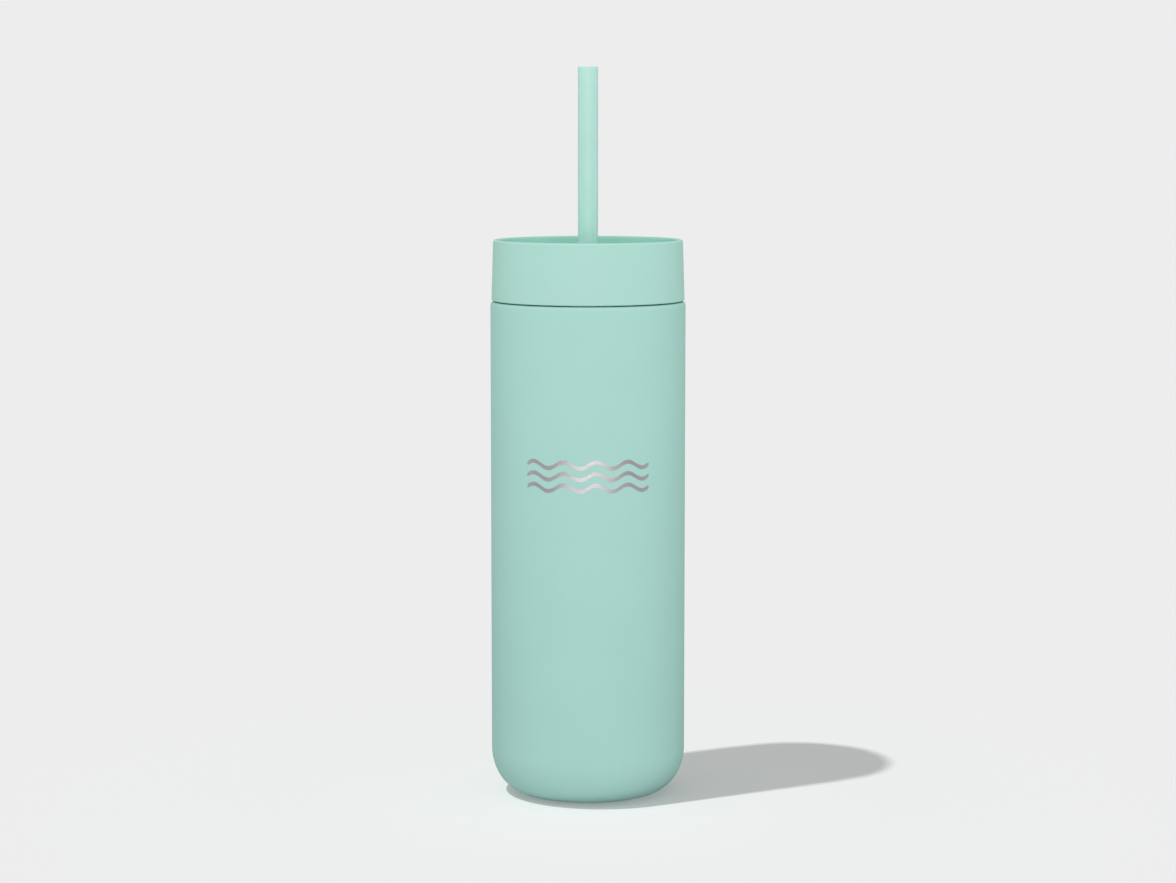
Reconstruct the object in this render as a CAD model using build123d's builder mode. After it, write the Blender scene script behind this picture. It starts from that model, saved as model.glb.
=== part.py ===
from build123d import *
import os

# Insulated straw tumbler: a double-walled steel cup, a screw lid with a sunken deck, and a
# straight straw held by a soft grommet in the middle of the deck.
# Millimetres. Z is up, and Z = 0 is the underside of the foot ring, which is what the tumbler stands on.
# Half-sections are drawn as (radius, height) on the XZ plane and turned about Z.

os.makedirs("parts", exist_ok=True)

# ---------------------------------------------------------------- driving dimensions

# Cup
BODY_RADIUS = 36.5            # outer shell, sized to drop into a car cup holder
SHOULDER_HEIGHT = 186.0       # top of the outer shell, where the lid's skirt comes down
SHELL_FOOT = 0.4              # lowest point of the steel shell, just clear of the table
CORNER_WIDTH = 13.4           # the bottom corner is a quarter ellipse: its radial half-axis
CORNER_HEIGHT = 16.8          # and its upright half-axis
SHEET = 0.6                   # outer shell and base plate
SHOULDER_ROUND = 0.8          # outer edge of the shoulder

# Liner and neck
LINER_RADIUS = 32.9           # outside of the liner and root of the neck's thread
LINER_SHEET = 0.5
LIP_HEIGHT = 196.2            # drinking lip
LIP_BEAD = 0.4                # half the thickness of the rolled lip
FLOOR_HEIGHT = 9.0            # inside floor of the cup
LINER_CORNER = 14.0           # outer bend between the liner's wall and floor

# Screw thread: three starts, right-handed, the same lead on the neck and in the lid
STARTS = 3
LEAD = 9.0
RIDGE_ROOT = 1.7              # ridge width at its root
RIDGE_CREST = 0.7             # ridge width at its crest
NECK_RIDGE_TALL = 0.8
NECK_START = 188.4            # height of the ridge's middle at its lower end
NECK_RISE = 6.0               # how far one ridge climbs
LID_RIDGE_TALL = 0.9
LID_START = 188.3
LID_RISE = 4.2
LID_BELOW_NECK = 1.45         # a lid ridge's middle sits this far under the neck ridge above it
RIDGE_BITE = 0.15             # how far a ridge's root reaches into its wall
# Along one ridge: share of its length, and share of its full height there.
RIDGE_PROFILE = ((0, 0.06), (0.12, 1), (0.5, 1), (0.88, 1), (1, 0.06))

# Lid
SKIRT_FOOT = 186.4            # lower edge of the lid, with a shadow gap over the shoulder
RIM_HEIGHT = 209.0
LID_FOOT_RADIUS = 36.1
LID_RIM_RADIUS = 35.4
RIM_WALL = 2.2
DECK_TOP = 201.0
DECK_UNDER = 199.5
DECK_DISH = 0.4               # the deck falls this much from the wall to the grommet
SKIRT_BORE = 34.85            # inside of the lid shell, round the insert
INSERT_RADIUS = 34.8
INSERT_BORE = 34.0            # root of the lid's thread
INSERT_TOP = 199.4
INSERT_UNDER = 198.2
INSERT_FOOT = 187.0
PLUG_RADIUS = 31.6            # wall that centres the lid inside the lip
PLUG_FOOT = 192.5
PLUG_WALL = 1.0

# Straw and its grommet
STRAW_RADIUS = 3.75
STRAW_BORE = 3.0
STRAW_FOOT = 9.4
STRAW_TOP = 273.0
GROMMET_HOLE = 5.0
GROMMET_NECK = 4.95
GROMMET_LIP = 3.79            # the two soft lips that bear on the straw
BOSS_FOOT = 194.5             # lower end of the boss round the grommet
STOPPER_FOOT = 13.5
STOPPER_TALL = 5.0

# Base
FLANGE_BORE = 22.4            # turned-in edge of the shell, which the base plate is welded into
FLANGE_TOP = 4.0
PLATE_UNDER = 3.0
COVER_RADIUS = 22.3
COVER_SHEET = 0.5
FOOT_INNER = 13.7
FOOT_OUTER = 21.4
FOOT_TALL = 1.85

VENT_PLACE = (-14.0, 0.0)     # air hole through deck and insert
VENT_RADIUS = 0.8
PIN_CIRCLE = 22.0             # locating pins that join the insert to the lid shell
PIN_COUNT = 4
PIN_START = 45.0              # degrees from +X to the first pin
PIN_RADIUS = 1.2
PIN_TALL = 0.8
PIN_ROOM = 0.1                # clearance round and over each pin

FACE_GAP = 0.05               # between the faces of pieces that rest on each other
CUT_PAST = 1.0                # how far a cutting shape runs beyond what it cuts


def screw_ridge(root_radius, start_height, rise, tall, root_width, crest_width):
    """One thread start as a solid, climbing from +X, with both ends sinking into the wall.

    A positive tall stands outwards from root_radius and a negative one inwards.
    """
    bite = -RIDGE_BITE if tall > 0 else RIDGE_BITE
    with BuildPart() as ridge:
        with BuildLine():
            path = Helix(pitch=LEAD, height=rise, radius=root_radius, center=(0, 0, start_height))
        sections = []
        for share, height_share in RIDGE_PROFILE:
            point = path @ share
            outward = Vector(point.X, point.Y, 0).normalized()
            crest = tall * height_share
            half_crest = (root_width + (crest_width - root_width) * height_share) / 2
            with BuildSketch(Plane(origin=point, x_dir=outward, z_dir=path % share)) as section:
                with BuildLine():
                    Polyline(
                        (bite, -root_width / 2),
                        (0, -root_width / 2),
                        (crest, -half_crest),
                        (crest, half_crest),
                        (0, root_width / 2),
                        (bite, root_width / 2),
                        close=True,
                    )
                make_face()
            sections.append(section.sketch)
        sweep(sections=sections, path=path, is_frenet=True, multisection=True)
    return ridge.part


# ---------------------------------------------------------------- cup: outer shell

corner_radius = BODY_RADIUS - CORNER_WIDTH          # where the shell's bottom turns flat
corner_centre = (corner_radius, SHELL_FOOT + CORNER_HEIGHT)
bend = corner_radius - FLANGE_BORE                  # outer bend from the bottom into the flange
inner_wall = BODY_RADIUS - SHEET

with BuildPart() as outer_shell:
    with BuildSketch(Plane.XZ):
        with BuildLine():
            Line((LINER_RADIUS, SHOULDER_HEIGHT), (BODY_RADIUS - SHOULDER_ROUND, SHOULDER_HEIGHT))
            CenterArc(
                (BODY_RADIUS - SHOULDER_ROUND, SHOULDER_HEIGHT - SHOULDER_ROUND), SHOULDER_ROUND, 0, 90
            )
            Line((BODY_RADIUS, SHOULDER_HEIGHT - SHOULDER_ROUND), (BODY_RADIUS, corner_centre[1]))
            EllipticalCenterArc(corner_centre, CORNER_WIDTH, CORNER_HEIGHT, -90, arc_size=90)
            CenterArc((corner_radius, SHELL_FOOT + bend), bend, 180, 90)
            Polyline(
                (FLANGE_BORE, SHELL_FOOT + bend),
                (FLANGE_BORE, FLANGE_TOP),
                (FLANGE_BORE + SHEET, FLANGE_TOP),
                (FLANGE_BORE + SHEET, SHELL_FOOT + bend),
            )
            CenterArc((corner_radius, SHELL_FOOT + bend), bend - SHEET, 180, 90)
            EllipticalCenterArc(
                corner_centre, CORNER_WIDTH - SHEET, CORNER_HEIGHT - SHEET, -90, arc_size=90
            )
            Line((inner_wall, corner_centre[1]), (inner_wall, SHOULDER_HEIGHT - SHOULDER_ROUND))
            CenterArc(
                (BODY_RADIUS - SHOULDER_ROUND, SHOULDER_HEIGHT - SHOULDER_ROUND),
                SHOULDER_ROUND - SHEET,
                0,
                90,
            )
            Polyline(
                (BODY_RADIUS - SHOULDER_ROUND, SHOULDER_HEIGHT - SHEET),
                (LINER_RADIUS, SHOULDER_HEIGHT - SHEET),
                (LINER_RADIUS, SHOULDER_HEIGHT),
            )
        make_face()
    revolve(axis=Axis.Z)
outer_shell.part.label = "outer_shell"

# ---------------------------------------------------------------- cup: inner liner with its threaded neck

liner_bore = LINER_RADIUS - LINER_SHEET
liner_corner = (LINER_RADIUS - LINER_CORNER, FLOOR_HEIGHT - LINER_SHEET + LINER_CORNER)
bead_centre = (LINER_RADIUS - LIP_BEAD, LIP_HEIGHT - LIP_BEAD)
HEM = 1.2                     # how far the lip's doubled edge reaches below the bead
GROOVE_SHALLOWER = 0.25       # the groove behind a ridge is this much less deep than the ridge is tall
GROOVE_ROOT = 1.0             # its width at the bore
GROOVE_CREST = 0.5            # and at its bottom
hem_foot = bead_centre[1] - HEM

neck_ridge = screw_ridge(
    LINER_RADIUS, NECK_START, NECK_RISE, NECK_RIDGE_TALL, RIDGE_ROOT, RIDGE_CREST
)
# The ridges are rolled outwards from inside, so the bore has a shallower groove behind each one.
neck_groove = screw_ridge(
    liner_bore, NECK_START, NECK_RISE, NECK_RIDGE_TALL - GROOVE_SHALLOWER, GROOVE_ROOT, GROOVE_CREST
)

with BuildPart() as inner_liner:
    with BuildSketch(Plane.XZ):
        with BuildLine():
            Line((0, FLOOR_HEIGHT), (liner_corner[0], FLOOR_HEIGHT))
            CenterArc(liner_corner, LINER_CORNER - LINER_SHEET, -90, 90)
            Polyline(
                (liner_bore, liner_corner[1]),
                (liner_bore, hem_foot - LIP_BEAD),
                (bead_centre[0] - LIP_BEAD, hem_foot),
                (bead_centre[0] - LIP_BEAD, bead_centre[1]),
            )
            CenterArc(bead_centre, LIP_BEAD, 0, 180)
            Line((LINER_RADIUS, bead_centre[1]), (LINER_RADIUS, liner_corner[1]))
            CenterArc(liner_corner, LINER_CORNER, -90, 90)
            Polyline(
                (liner_corner[0], FLOOR_HEIGHT - LINER_SHEET),
                (0, FLOOR_HEIGHT - LINER_SHEET),
                (0, FLOOR_HEIGHT),
            )
        make_face()
    revolve(axis=Axis.Z)
    with PolarLocations(0, STARTS):
        add(neck_ridge)
    with PolarLocations(0, STARTS):
        add(neck_groove, mode=Mode.SUBTRACT)
inner_liner.part.label = "inner_liner"

# ---------------------------------------------------------------- cup: copper foil in the vacuum gap

FOIL_RADIUS = LINER_RADIUS + 0.25           # a hair clear of the liner
FOIL = 0.15
FOIL_FOOT = 24.0
FOIL_TOP = 182.0
FOIL_SEAM = 1.2               # gap between the foil's two long edges

with BuildPart() as radiation_foil:
    with BuildSketch(Plane.XY.offset(FOIL_FOOT)):
        Circle(FOIL_RADIUS + FOIL)
        Circle(FOIL_RADIUS, mode=Mode.SUBTRACT)
        with Locations((0, FOIL_RADIUS)):
            Rectangle(FOIL_SEAM, 2 * CUT_PAST, mode=Mode.SUBTRACT)
    extrude(amount=FOIL_TOP - FOIL_FOOT)
radiation_foil.part.label = "radiation_foil"

# ---------------------------------------------------------------- base plate with the evacuation port

DIMPLE_RADIUS = 4.5           # foot of the dimple on the plate's underside
DIMPLE_RISE = 1.0
DIMPLE_SLOPE = 1.0            # width of its sloping side
DIMPLE_OUTER = 4.8            # foot of the dimple on the plate's upper side
PORT_RADIUS = 0.8
plate_top = PLATE_UNDER + SHEET

with BuildPart() as base_plate:
    with BuildSketch(Plane.XZ):
        with BuildLine():
            Polyline(
                (PORT_RADIUS, PLATE_UNDER + DIMPLE_RISE),
                (DIMPLE_RADIUS - DIMPLE_SLOPE, PLATE_UNDER + DIMPLE_RISE),
                (DIMPLE_RADIUS, PLATE_UNDER),
                (FLANGE_BORE, PLATE_UNDER),
                (FLANGE_BORE, plate_top),
                (DIMPLE_OUTER, plate_top),
                (DIMPLE_OUTER - DIMPLE_SLOPE, plate_top + DIMPLE_RISE),
                (PORT_RADIUS, plate_top + DIMPLE_RISE),
                close=True,
            )
        make_face()
    revolve(axis=Axis.Z)
base_plate.part.label = "base_plate"

# The drop of solder glass that seals the port: a round cap under the dimple and a plug in the hole.
BEAD_RADIUS = 2.4
BEAD_SAG = 0.9
PLUG_SHY = 0.2                # the plug stops this far below the plate's upper face
dimple_roof = PLATE_UNDER + DIMPLE_RISE
plug_top = plate_top + DIMPLE_RISE - PLUG_SHY

with BuildPart() as port_bead:
    with BuildSketch(Plane.XZ):
        with BuildLine():
            TangentArc((0, dimple_roof - BEAD_SAG), (BEAD_RADIUS, dimple_roof), tangent=(1, 0))
            Polyline(
                (BEAD_RADIUS, dimple_roof),
                (PORT_RADIUS, dimple_roof),
                (PORT_RADIUS, plug_top),
                (0, plug_top),
                (0, dimple_roof - BEAD_SAG),
            )
        make_face()
    revolve(axis=Axis.Z)
port_bead.part.label = "port_bead"

# ---------------------------------------------------------------- getter pill and the strap that holds it

GETTER_PLACE = 13.0           # along +X from the axis
GETTER_RADIUS = 4.0
GETTER_TALL = 1.8
GETTER_EDGE = 0.3
STRAP = 0.3
STRAP_WIDTH = 3.0
STRAP_FOOT = 2.2              # how far each foot of the strap reaches out from the pill

with BuildPart() as getter_pill:
    with BuildSketch(Plane.XY.offset(plate_top)):
        with Locations((GETTER_PLACE, 0)):
            Circle(GETTER_RADIUS)
    extrude(amount=GETTER_TALL)
    chamfer(getter_pill.edges().group_by(Axis.Z)[-1], GETTER_EDGE)
getter_pill.part.label = "getter_pill"

strap_top = plate_top + GETTER_TALL
with BuildPart() as getter_strap:
    with BuildSketch(Plane.XZ):
        with BuildLine():
            for side in (-1, 1):
                Polyline(
                    (GETTER_PLACE, strap_top + STRAP),
                    (GETTER_PLACE + side * (GETTER_RADIUS + STRAP), strap_top + STRAP),
                    (GETTER_PLACE + side * (GETTER_RADIUS + STRAP), plate_top + STRAP),
                    (GETTER_PLACE + side * (GETTER_RADIUS + STRAP_FOOT), plate_top + STRAP),
                    (GETTER_PLACE + side * (GETTER_RADIUS + STRAP_FOOT), plate_top),
                    (GETTER_PLACE + side * GETTER_RADIUS, plate_top),
                    (GETTER_PLACE + side * GETTER_RADIUS, strap_top),
                    (GETTER_PLACE, strap_top),
                )
        make_face()
    extrude(amount=STRAP_WIDTH / 2, both=True)
getter_strap.part.label = "getter_strap"

# ---------------------------------------------------------------- base cover and the soft foot ring

COVER_FOOT = 0.5              # underside of the cover's middle, above the table
COVER_EDGE = 0.4              # bevel round that middle
RING_ROOM = 0.2               # between the foot ring and the cover on either side of it
cover_roof = FOOT_TALL + FACE_GAP
cover_top = cover_roof + COVER_SHEET
rim_foot = COVER_FOOT + RING_ROOM
centre_radius = FOOT_INNER - RING_ROOM

with BuildPart() as base_cover:
    with BuildSketch(Plane.XZ):
        with BuildLine():
            Polyline(
                (0, COVER_FOOT),
                (centre_radius - COVER_EDGE, COVER_FOOT),
                (centre_radius, COVER_FOOT + COVER_EDGE),
                (centre_radius, cover_roof),
                (FOOT_OUTER + RING_ROOM, cover_roof),
                (FOOT_OUTER + RING_ROOM, rim_foot),
                (COVER_RADIUS, rim_foot),
                (COVER_RADIUS, cover_top),
                (centre_radius - COVER_SHEET, cover_top),
                (centre_radius - COVER_SHEET, COVER_FOOT + COVER_SHEET),
                (0, COVER_FOOT + COVER_SHEET),
                close=True,
            )
        make_face()
    revolve(axis=Axis.Z)
base_cover.part.label = "base_cover"

FOOT_EDGE = 0.35              # rounding where the ring meets the table
GRIP_GROOVES = 2
GRIP_GROOVE_WIDTH = 0.7
GRIP_GROOVE_DEPTH = 0.4

with BuildPart() as foot_ring:
    with BuildSketch(Plane.XY):
        Circle(FOOT_OUTER)
        Circle(FOOT_INNER, mode=Mode.SUBTRACT)
    extrude(amount=FOOT_TALL)
    fillet(foot_ring.edges().group_by(Axis.Z)[0], FOOT_EDGE)
    for n in range(GRIP_GROOVES):
        groove = FOOT_INNER + (FOOT_OUTER - FOOT_INNER) * (n + 1) / (GRIP_GROOVES + 1)
        with BuildSketch(Plane.XY):
            Circle(groove + GRIP_GROOVE_WIDTH / 2)
            Circle(groove - GRIP_GROOVE_WIDTH / 2, mode=Mode.SUBTRACT)
        extrude(amount=GRIP_GROOVE_DEPTH, mode=Mode.SUBTRACT)
foot_ring.part.label = "foot_ring"

# ---------------------------------------------------------------- lid: outer shell with splash wall and deck

WALL_FOOT_RADIUS = 32.8       # inside of the splash wall where it meets the deck
DECK_FLAT = 8.0               # flat seat round the grommet
RIM_OUTER_ROUND = 0.8
RIM_INNER_ROUND = 1.0
SKIRT_ROUND = 0.5
DECK_ROUND = 2.5              # between the deck and the splash wall
deck_edge = DECK_TOP + DECK_DISH

with BuildPart() as lid_shell:
    with BuildSketch(Plane.XZ) as lid_section:
        with BuildLine():
            Polyline(
                (SKIRT_BORE, SKIRT_FOOT),
                (LID_FOOT_RADIUS, SKIRT_FOOT),
                (LID_RIM_RADIUS, RIM_HEIGHT),
                (LID_RIM_RADIUS - RIM_WALL, RIM_HEIGHT),
                (WALL_FOOT_RADIUS, deck_edge),
                (DECK_FLAT, DECK_TOP),
                (GROMMET_HOLE, DECK_TOP),
                (GROMMET_HOLE, DECK_UNDER),
                (SKIRT_BORE, DECK_UNDER),
                close=True,
            )
        make_face()
        for corner, corner_round in (
            ((LID_RIM_RADIUS, RIM_HEIGHT), RIM_OUTER_ROUND),
            ((LID_RIM_RADIUS - RIM_WALL, RIM_HEIGHT), RIM_INNER_ROUND),
            ((LID_FOOT_RADIUS, SKIRT_FOOT), SKIRT_ROUND),
            ((WALL_FOOT_RADIUS, deck_edge), DECK_ROUND),
        ):
            fillet(lid_section.vertices().sort_by_distance(corner)[0], corner_round)
    revolve(axis=Axis.Z)
    # Blind holes for the insert's locating pins, and the vent.
    with BuildSketch(Plane.XY.offset(DECK_UNDER)):
        with PolarLocations(PIN_CIRCLE, PIN_COUNT, start_angle=PIN_START):
            Circle(PIN_RADIUS + PIN_ROOM)
    extrude(amount=PIN_TALL + PIN_ROOM, mode=Mode.SUBTRACT)
    with BuildSketch(Plane.XY.offset(DECK_UNDER)):
        with Locations(VENT_PLACE):
            Circle(VENT_RADIUS)
    extrude(amount=deck_edge - DECK_UNDER + CUT_PAST, mode=Mode.SUBTRACT)
lid_shell.part.label = "lid_shell"

# ---------------------------------------------------------------- lid: threaded insert

RIBS = 6
RIB_START = 30.0              # degrees from +X to the first rib
RIB_THICK = 1.2
RIB_TALL = 2.5
RIB_BITE = 0.5                # how far each end of a rib runs into its wall
BOSS_RADIUS = 6.6
PLUG_LEAD = (0.3, 0.5)        # bevel that guides the plug into the neck: its width and height
FOOT_BEVEL = 0.4              # at the mouth of the insert's thread
# The bead that keeps the gasket in its groove: how far it stands out, and its four heights below the lip.
CATCH = 0.2
CATCH_BELOW_LIP = (1.2, 0.9, 0.6, 0.3)
catch_heights = [LIP_HEIGHT - below for below in CATCH_BELOW_LIP]

# The lid's ridges sit between the neck's, so their start is turned to suit their height.
lid_phase = (LID_START - (NECK_START - LID_BELOW_NECK)) / LEAD * 360
lid_ridge = screw_ridge(
    INSERT_BORE, LID_START, LID_RISE, -LID_RIDGE_TALL, RIDGE_ROOT, RIDGE_CREST
)

with BuildPart() as lid_insert:
    with BuildSketch(Plane.XZ):
        with BuildLine():
            Polyline(
                (GROMMET_HOLE, BOSS_FOOT),
                (BOSS_RADIUS, BOSS_FOOT),
                (BOSS_RADIUS, INSERT_UNDER),
                (PLUG_RADIUS - PLUG_WALL, INSERT_UNDER),
                (PLUG_RADIUS - PLUG_WALL, PLUG_FOOT),
                (PLUG_RADIUS - PLUG_LEAD[0], PLUG_FOOT),
                (PLUG_RADIUS, PLUG_FOOT + PLUG_LEAD[1]),
                (PLUG_RADIUS, catch_heights[0]),
                (PLUG_RADIUS + CATCH, catch_heights[1]),
                (PLUG_RADIUS + CATCH, catch_heights[2]),
                (PLUG_RADIUS, catch_heights[3]),
                (PLUG_RADIUS, INSERT_UNDER),
                (INSERT_BORE, INSERT_UNDER),
                (INSERT_BORE, INSERT_FOOT + FOOT_BEVEL),
                (INSERT_BORE + FOOT_BEVEL, INSERT_FOOT),
                (INSERT_RADIUS, INSERT_FOOT),
                (INSERT_RADIUS, INSERT_TOP),
                (GROMMET_HOLE, INSERT_TOP),
                close=True,
            )
        make_face()
    revolve(axis=Axis.Z)
    # Stiffening ribs under the plate, from the boss to the plug wall.
    rib_middle = (BOSS_RADIUS + PLUG_RADIUS - PLUG_WALL) / 2
    rib_length = PLUG_RADIUS - PLUG_WALL - BOSS_RADIUS + 2 * RIB_BITE
    with BuildSketch(Plane.XY.offset(INSERT_UNDER - RIB_TALL)):
        with PolarLocations(rib_middle, RIBS, start_angle=RIB_START):
            Rectangle(rib_length, RIB_THICK)
    extrude(amount=RIB_TALL)
    with BuildSketch(Plane.XY.offset(INSERT_TOP)):
        with PolarLocations(PIN_CIRCLE, PIN_COUNT, start_angle=PIN_START):
            Circle(PIN_RADIUS)
    extrude(amount=PIN_TALL)
    with BuildSketch(Plane.XY.offset(INSERT_UNDER - CUT_PAST)):
        with Locations(VENT_PLACE):
            Circle(VENT_RADIUS)
    extrude(amount=INSERT_TOP - INSERT_UNDER + 2 * CUT_PAST, mode=Mode.SUBTRACT)
    with PolarLocations(0, STARTS, start_angle=lid_phase):
        add(lid_ridge)
lid_insert.part.label = "lid_insert"

# ---------------------------------------------------------------- lid gasket: flat ring with two sealing ribs

GASKET_INNER = PLUG_RADIUS + 0.1
GASKET_OUTER = INSERT_BORE - 0.15
GASKET_FOOT = LIP_HEIGHT + 0.1
GASKET_TOP = INSERT_UNDER - 0.1
GASKET_ROUND = 0.3
SEAL_RIB = 0.25               # radius of each sealing rib
SEAL_RIB_SHARES = (0.22, 0.78)              # where the ribs stand across the ring's width
gasket_width = GASKET_OUTER - GASKET_INNER
gasket_tall = GASKET_TOP - GASKET_FOOT - SEAL_RIB

with BuildPart() as lid_gasket:
    with BuildSketch(Plane.XZ):
        with Locations((GASKET_INNER + gasket_width / 2, GASKET_TOP - gasket_tall / 2)):
            RectangleRounded(gasket_width, gasket_tall, GASKET_ROUND)
        for share in SEAL_RIB_SHARES:
            with Locations((GASKET_INNER + share * gasket_width, GASKET_FOOT + SEAL_RIB)):
                Circle(SEAL_RIB)
    revolve(axis=Axis.Z)
lid_gasket.part.label = "lid_gasket"

# ---------------------------------------------------------------- straw grommet

FLANGE_RADIUS = 7.2
FLANGE_THICK = 0.9
FLANGE_TAPER = 0.5            # the upper flange leans in by this much over its thickness
FLANGE_ROUND = 0.3
LOWER_FLANGE_RADIUS = 6.2
LIP_LEAD = 0.3                # bevel that guides the straw in
LIP_TALL = 0.9                # from the grommet's end to the back of each soft lip
LIP_BACK = 0.5                # the slope behind each lip
upper_seat = DECK_TOP + 0.02
lower_seat = BOSS_FOOT - FACE_GAP
grommet_relief = STRAW_RADIUS + 0.4         # bore between the lips, clear of the straw
grommet_top = upper_seat + FLANGE_THICK
grommet_foot = lower_seat - FLANGE_THICK

with BuildPart() as straw_grommet:
    with BuildSketch(Plane.XZ) as grommet_section:
        with BuildLine():
            Polyline(
                (GROMMET_LIP, grommet_foot),
                (LOWER_FLANGE_RADIUS, grommet_foot),
                (LOWER_FLANGE_RADIUS, lower_seat),
                (GROMMET_NECK, lower_seat),
                (GROMMET_NECK, upper_seat),
                (FLANGE_RADIUS, upper_seat),
                (FLANGE_RADIUS - FLANGE_TAPER, grommet_top),
                (GROMMET_LIP + LIP_LEAD, grommet_top),
                (GROMMET_LIP, grommet_top - LIP_LEAD),
                (GROMMET_LIP, grommet_top - LIP_TALL),
                (grommet_relief, grommet_top - LIP_TALL - LIP_BACK),
                (grommet_relief, grommet_foot + LIP_TALL + LIP_BACK),
                (GROMMET_LIP, grommet_foot + LIP_TALL),
                close=True,
            )
        make_face()
        flange_corner = grommet_section.vertices().group_by(Axis.Y)[-1].sort_by(Axis.X)[-1]
        fillet(flange_corner, FLANGE_ROUND)
    revolve(axis=Axis.Z)
straw_grommet.part.label = "straw_grommet"

# ---------------------------------------------------------------- straw and its stopper ring

MOUTH_ROUND = 0.3
NOTCH_WIDTH = 4.0
NOTCH_TALL = 2.6
NOTCH_BELOW = 0.1             # the notch is cut from this far under the straw's foot

with BuildPart() as straw_tube:
    with BuildSketch(Plane.XY.offset(STRAW_FOOT)):
        Circle(STRAW_RADIUS)
        Circle(STRAW_BORE, mode=Mode.SUBTRACT)
    extrude(amount=STRAW_TOP - STRAW_FOOT)
    fillet(straw_tube.edges().group_by(Axis.Z)[-1], MOUTH_ROUND)
    # Two V notches keep the foot from sealing against the floor of the cup.
    with BuildSketch(Plane.XZ):
        with BuildLine():
            Polyline(
                (-NOTCH_WIDTH / 2, STRAW_FOOT - NOTCH_BELOW),
                (0, STRAW_FOOT + NOTCH_TALL),
                (NOTCH_WIDTH / 2, STRAW_FOOT - NOTCH_BELOW),
                close=True,
            )
        make_face()
    extrude(amount=2 * STRAW_RADIUS, both=True, mode=Mode.SUBTRACT)
straw_tube.part.label = "straw_tube"

STOPPER_RADIUS = 5.4
STOPPER_BEVEL = 1.0           # round its foot
STOPPER_ROUND = 0.5           # round its top

with BuildPart() as straw_stopper:
    with BuildSketch(Plane.XY.offset(STOPPER_FOOT)):
        Circle(STOPPER_RADIUS)
        Circle(STRAW_RADIUS, mode=Mode.SUBTRACT)
    extrude(amount=STOPPER_TALL)
    chamfer(straw_stopper.edges().group_by(Axis.Z)[0].sort_by(SortBy.RADIUS)[-1], STOPPER_BEVEL)
    fillet(straw_stopper.edges().group_by(Axis.Z)[-1].sort_by(SortBy.RADIUS)[-1], STOPPER_ROUND)
straw_stopper.part.label = "straw_stopper"

# ---------------------------------------------------------------- one STEP file for each piece

for piece in (
    outer_shell, inner_liner, radiation_foil, base_plate, port_bead, getter_pill, getter_strap,
    base_cover, foot_ring, lid_shell, lid_insert, lid_gasket, straw_grommet, straw_tube, straw_stopper,
):
    export_step(piece.part, f"parts/{piece.part.label}.step")
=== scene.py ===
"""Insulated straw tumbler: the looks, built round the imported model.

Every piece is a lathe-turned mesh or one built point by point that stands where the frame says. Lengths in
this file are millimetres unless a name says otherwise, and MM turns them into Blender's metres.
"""

import math

import bmesh
import bpy
from bpy.props import FloatProperty, FloatVectorProperty, IntProperty, PointerProperty
from mathutils import Euler, Matrix, Vector, noise


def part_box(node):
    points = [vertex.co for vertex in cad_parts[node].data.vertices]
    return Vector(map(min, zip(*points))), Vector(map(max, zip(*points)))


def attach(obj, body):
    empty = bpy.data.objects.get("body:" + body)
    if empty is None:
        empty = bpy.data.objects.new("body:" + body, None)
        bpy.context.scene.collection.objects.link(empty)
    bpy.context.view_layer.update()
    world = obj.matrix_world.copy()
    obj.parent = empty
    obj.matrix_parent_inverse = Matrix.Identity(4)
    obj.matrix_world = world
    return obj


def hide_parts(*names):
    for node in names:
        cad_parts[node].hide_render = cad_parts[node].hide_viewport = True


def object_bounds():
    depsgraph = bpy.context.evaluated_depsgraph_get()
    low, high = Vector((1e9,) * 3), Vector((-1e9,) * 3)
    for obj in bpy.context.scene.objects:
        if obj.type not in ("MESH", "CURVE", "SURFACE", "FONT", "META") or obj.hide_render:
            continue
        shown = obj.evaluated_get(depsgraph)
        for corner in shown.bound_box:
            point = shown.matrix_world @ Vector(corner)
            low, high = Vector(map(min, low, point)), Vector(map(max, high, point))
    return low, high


bl_info = {
    "name": "Insulated Straw Tumbler",
    "version": (1, 0, 0),
    "blender": (4, 5, 0),
    "location": "View3D > Sidebar > Tumbler",
    "description": "Builds the meshes and finishes of a double-walled tumbler round its packed frame",
    "category": "Object",
}

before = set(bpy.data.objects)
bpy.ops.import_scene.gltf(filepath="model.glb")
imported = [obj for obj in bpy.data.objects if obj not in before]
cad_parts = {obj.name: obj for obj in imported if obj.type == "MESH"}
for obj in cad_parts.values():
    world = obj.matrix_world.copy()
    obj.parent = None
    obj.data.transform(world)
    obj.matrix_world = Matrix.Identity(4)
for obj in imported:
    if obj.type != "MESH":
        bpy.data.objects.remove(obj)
CAD_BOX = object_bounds()

MM = 0.001
TAU = math.tau


def reach(node):
    """Greatest radius, lowest point and highest point of a CAD node, in millimetres."""
    low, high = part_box(node)
    return high.x / MM, low.z / MM, high.z / MM


# ---------------------------------------------------------------- sizes taken from the frame

BODY_RADIUS, SHELL_FOOT, SHOULDER = reach("outer_shell")
_, LINER_UNDER, LIP_TOP = reach("inner_liner")
FOIL_RADIUS, FOIL_FOOT, FOIL_TOP = reach("radiation_foil")
PLATE_RADIUS, PLATE_UNDER, PLATE_TOP = reach("base_plate")
COVER_RADIUS, COVER_UNDER, COVER_TOP = reach("base_cover")
FOOT_RADIUS, FOOT_UNDER, FOOT_TOP = reach("foot_ring")
BEAD_RADIUS, BEAD_UNDER, BEAD_TOP = reach("port_bead")
SKIRT_RADIUS, SKIRT_FOOT, RIM_TOP = reach("lid_shell")
INSERT_RADIUS, INSERT_FOOT, PIN_TOP = reach("lid_insert")
GASKET_RADIUS, GASKET_FOOT, GASKET_TOP = reach("lid_gasket")
GROMMET_RADIUS, GROMMET_FOOT, GROMMET_TOP = reach("straw_grommet")
STRAW_RADIUS, STRAW_FOOT, STRAW_TOP = reach("straw_tube")
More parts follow.
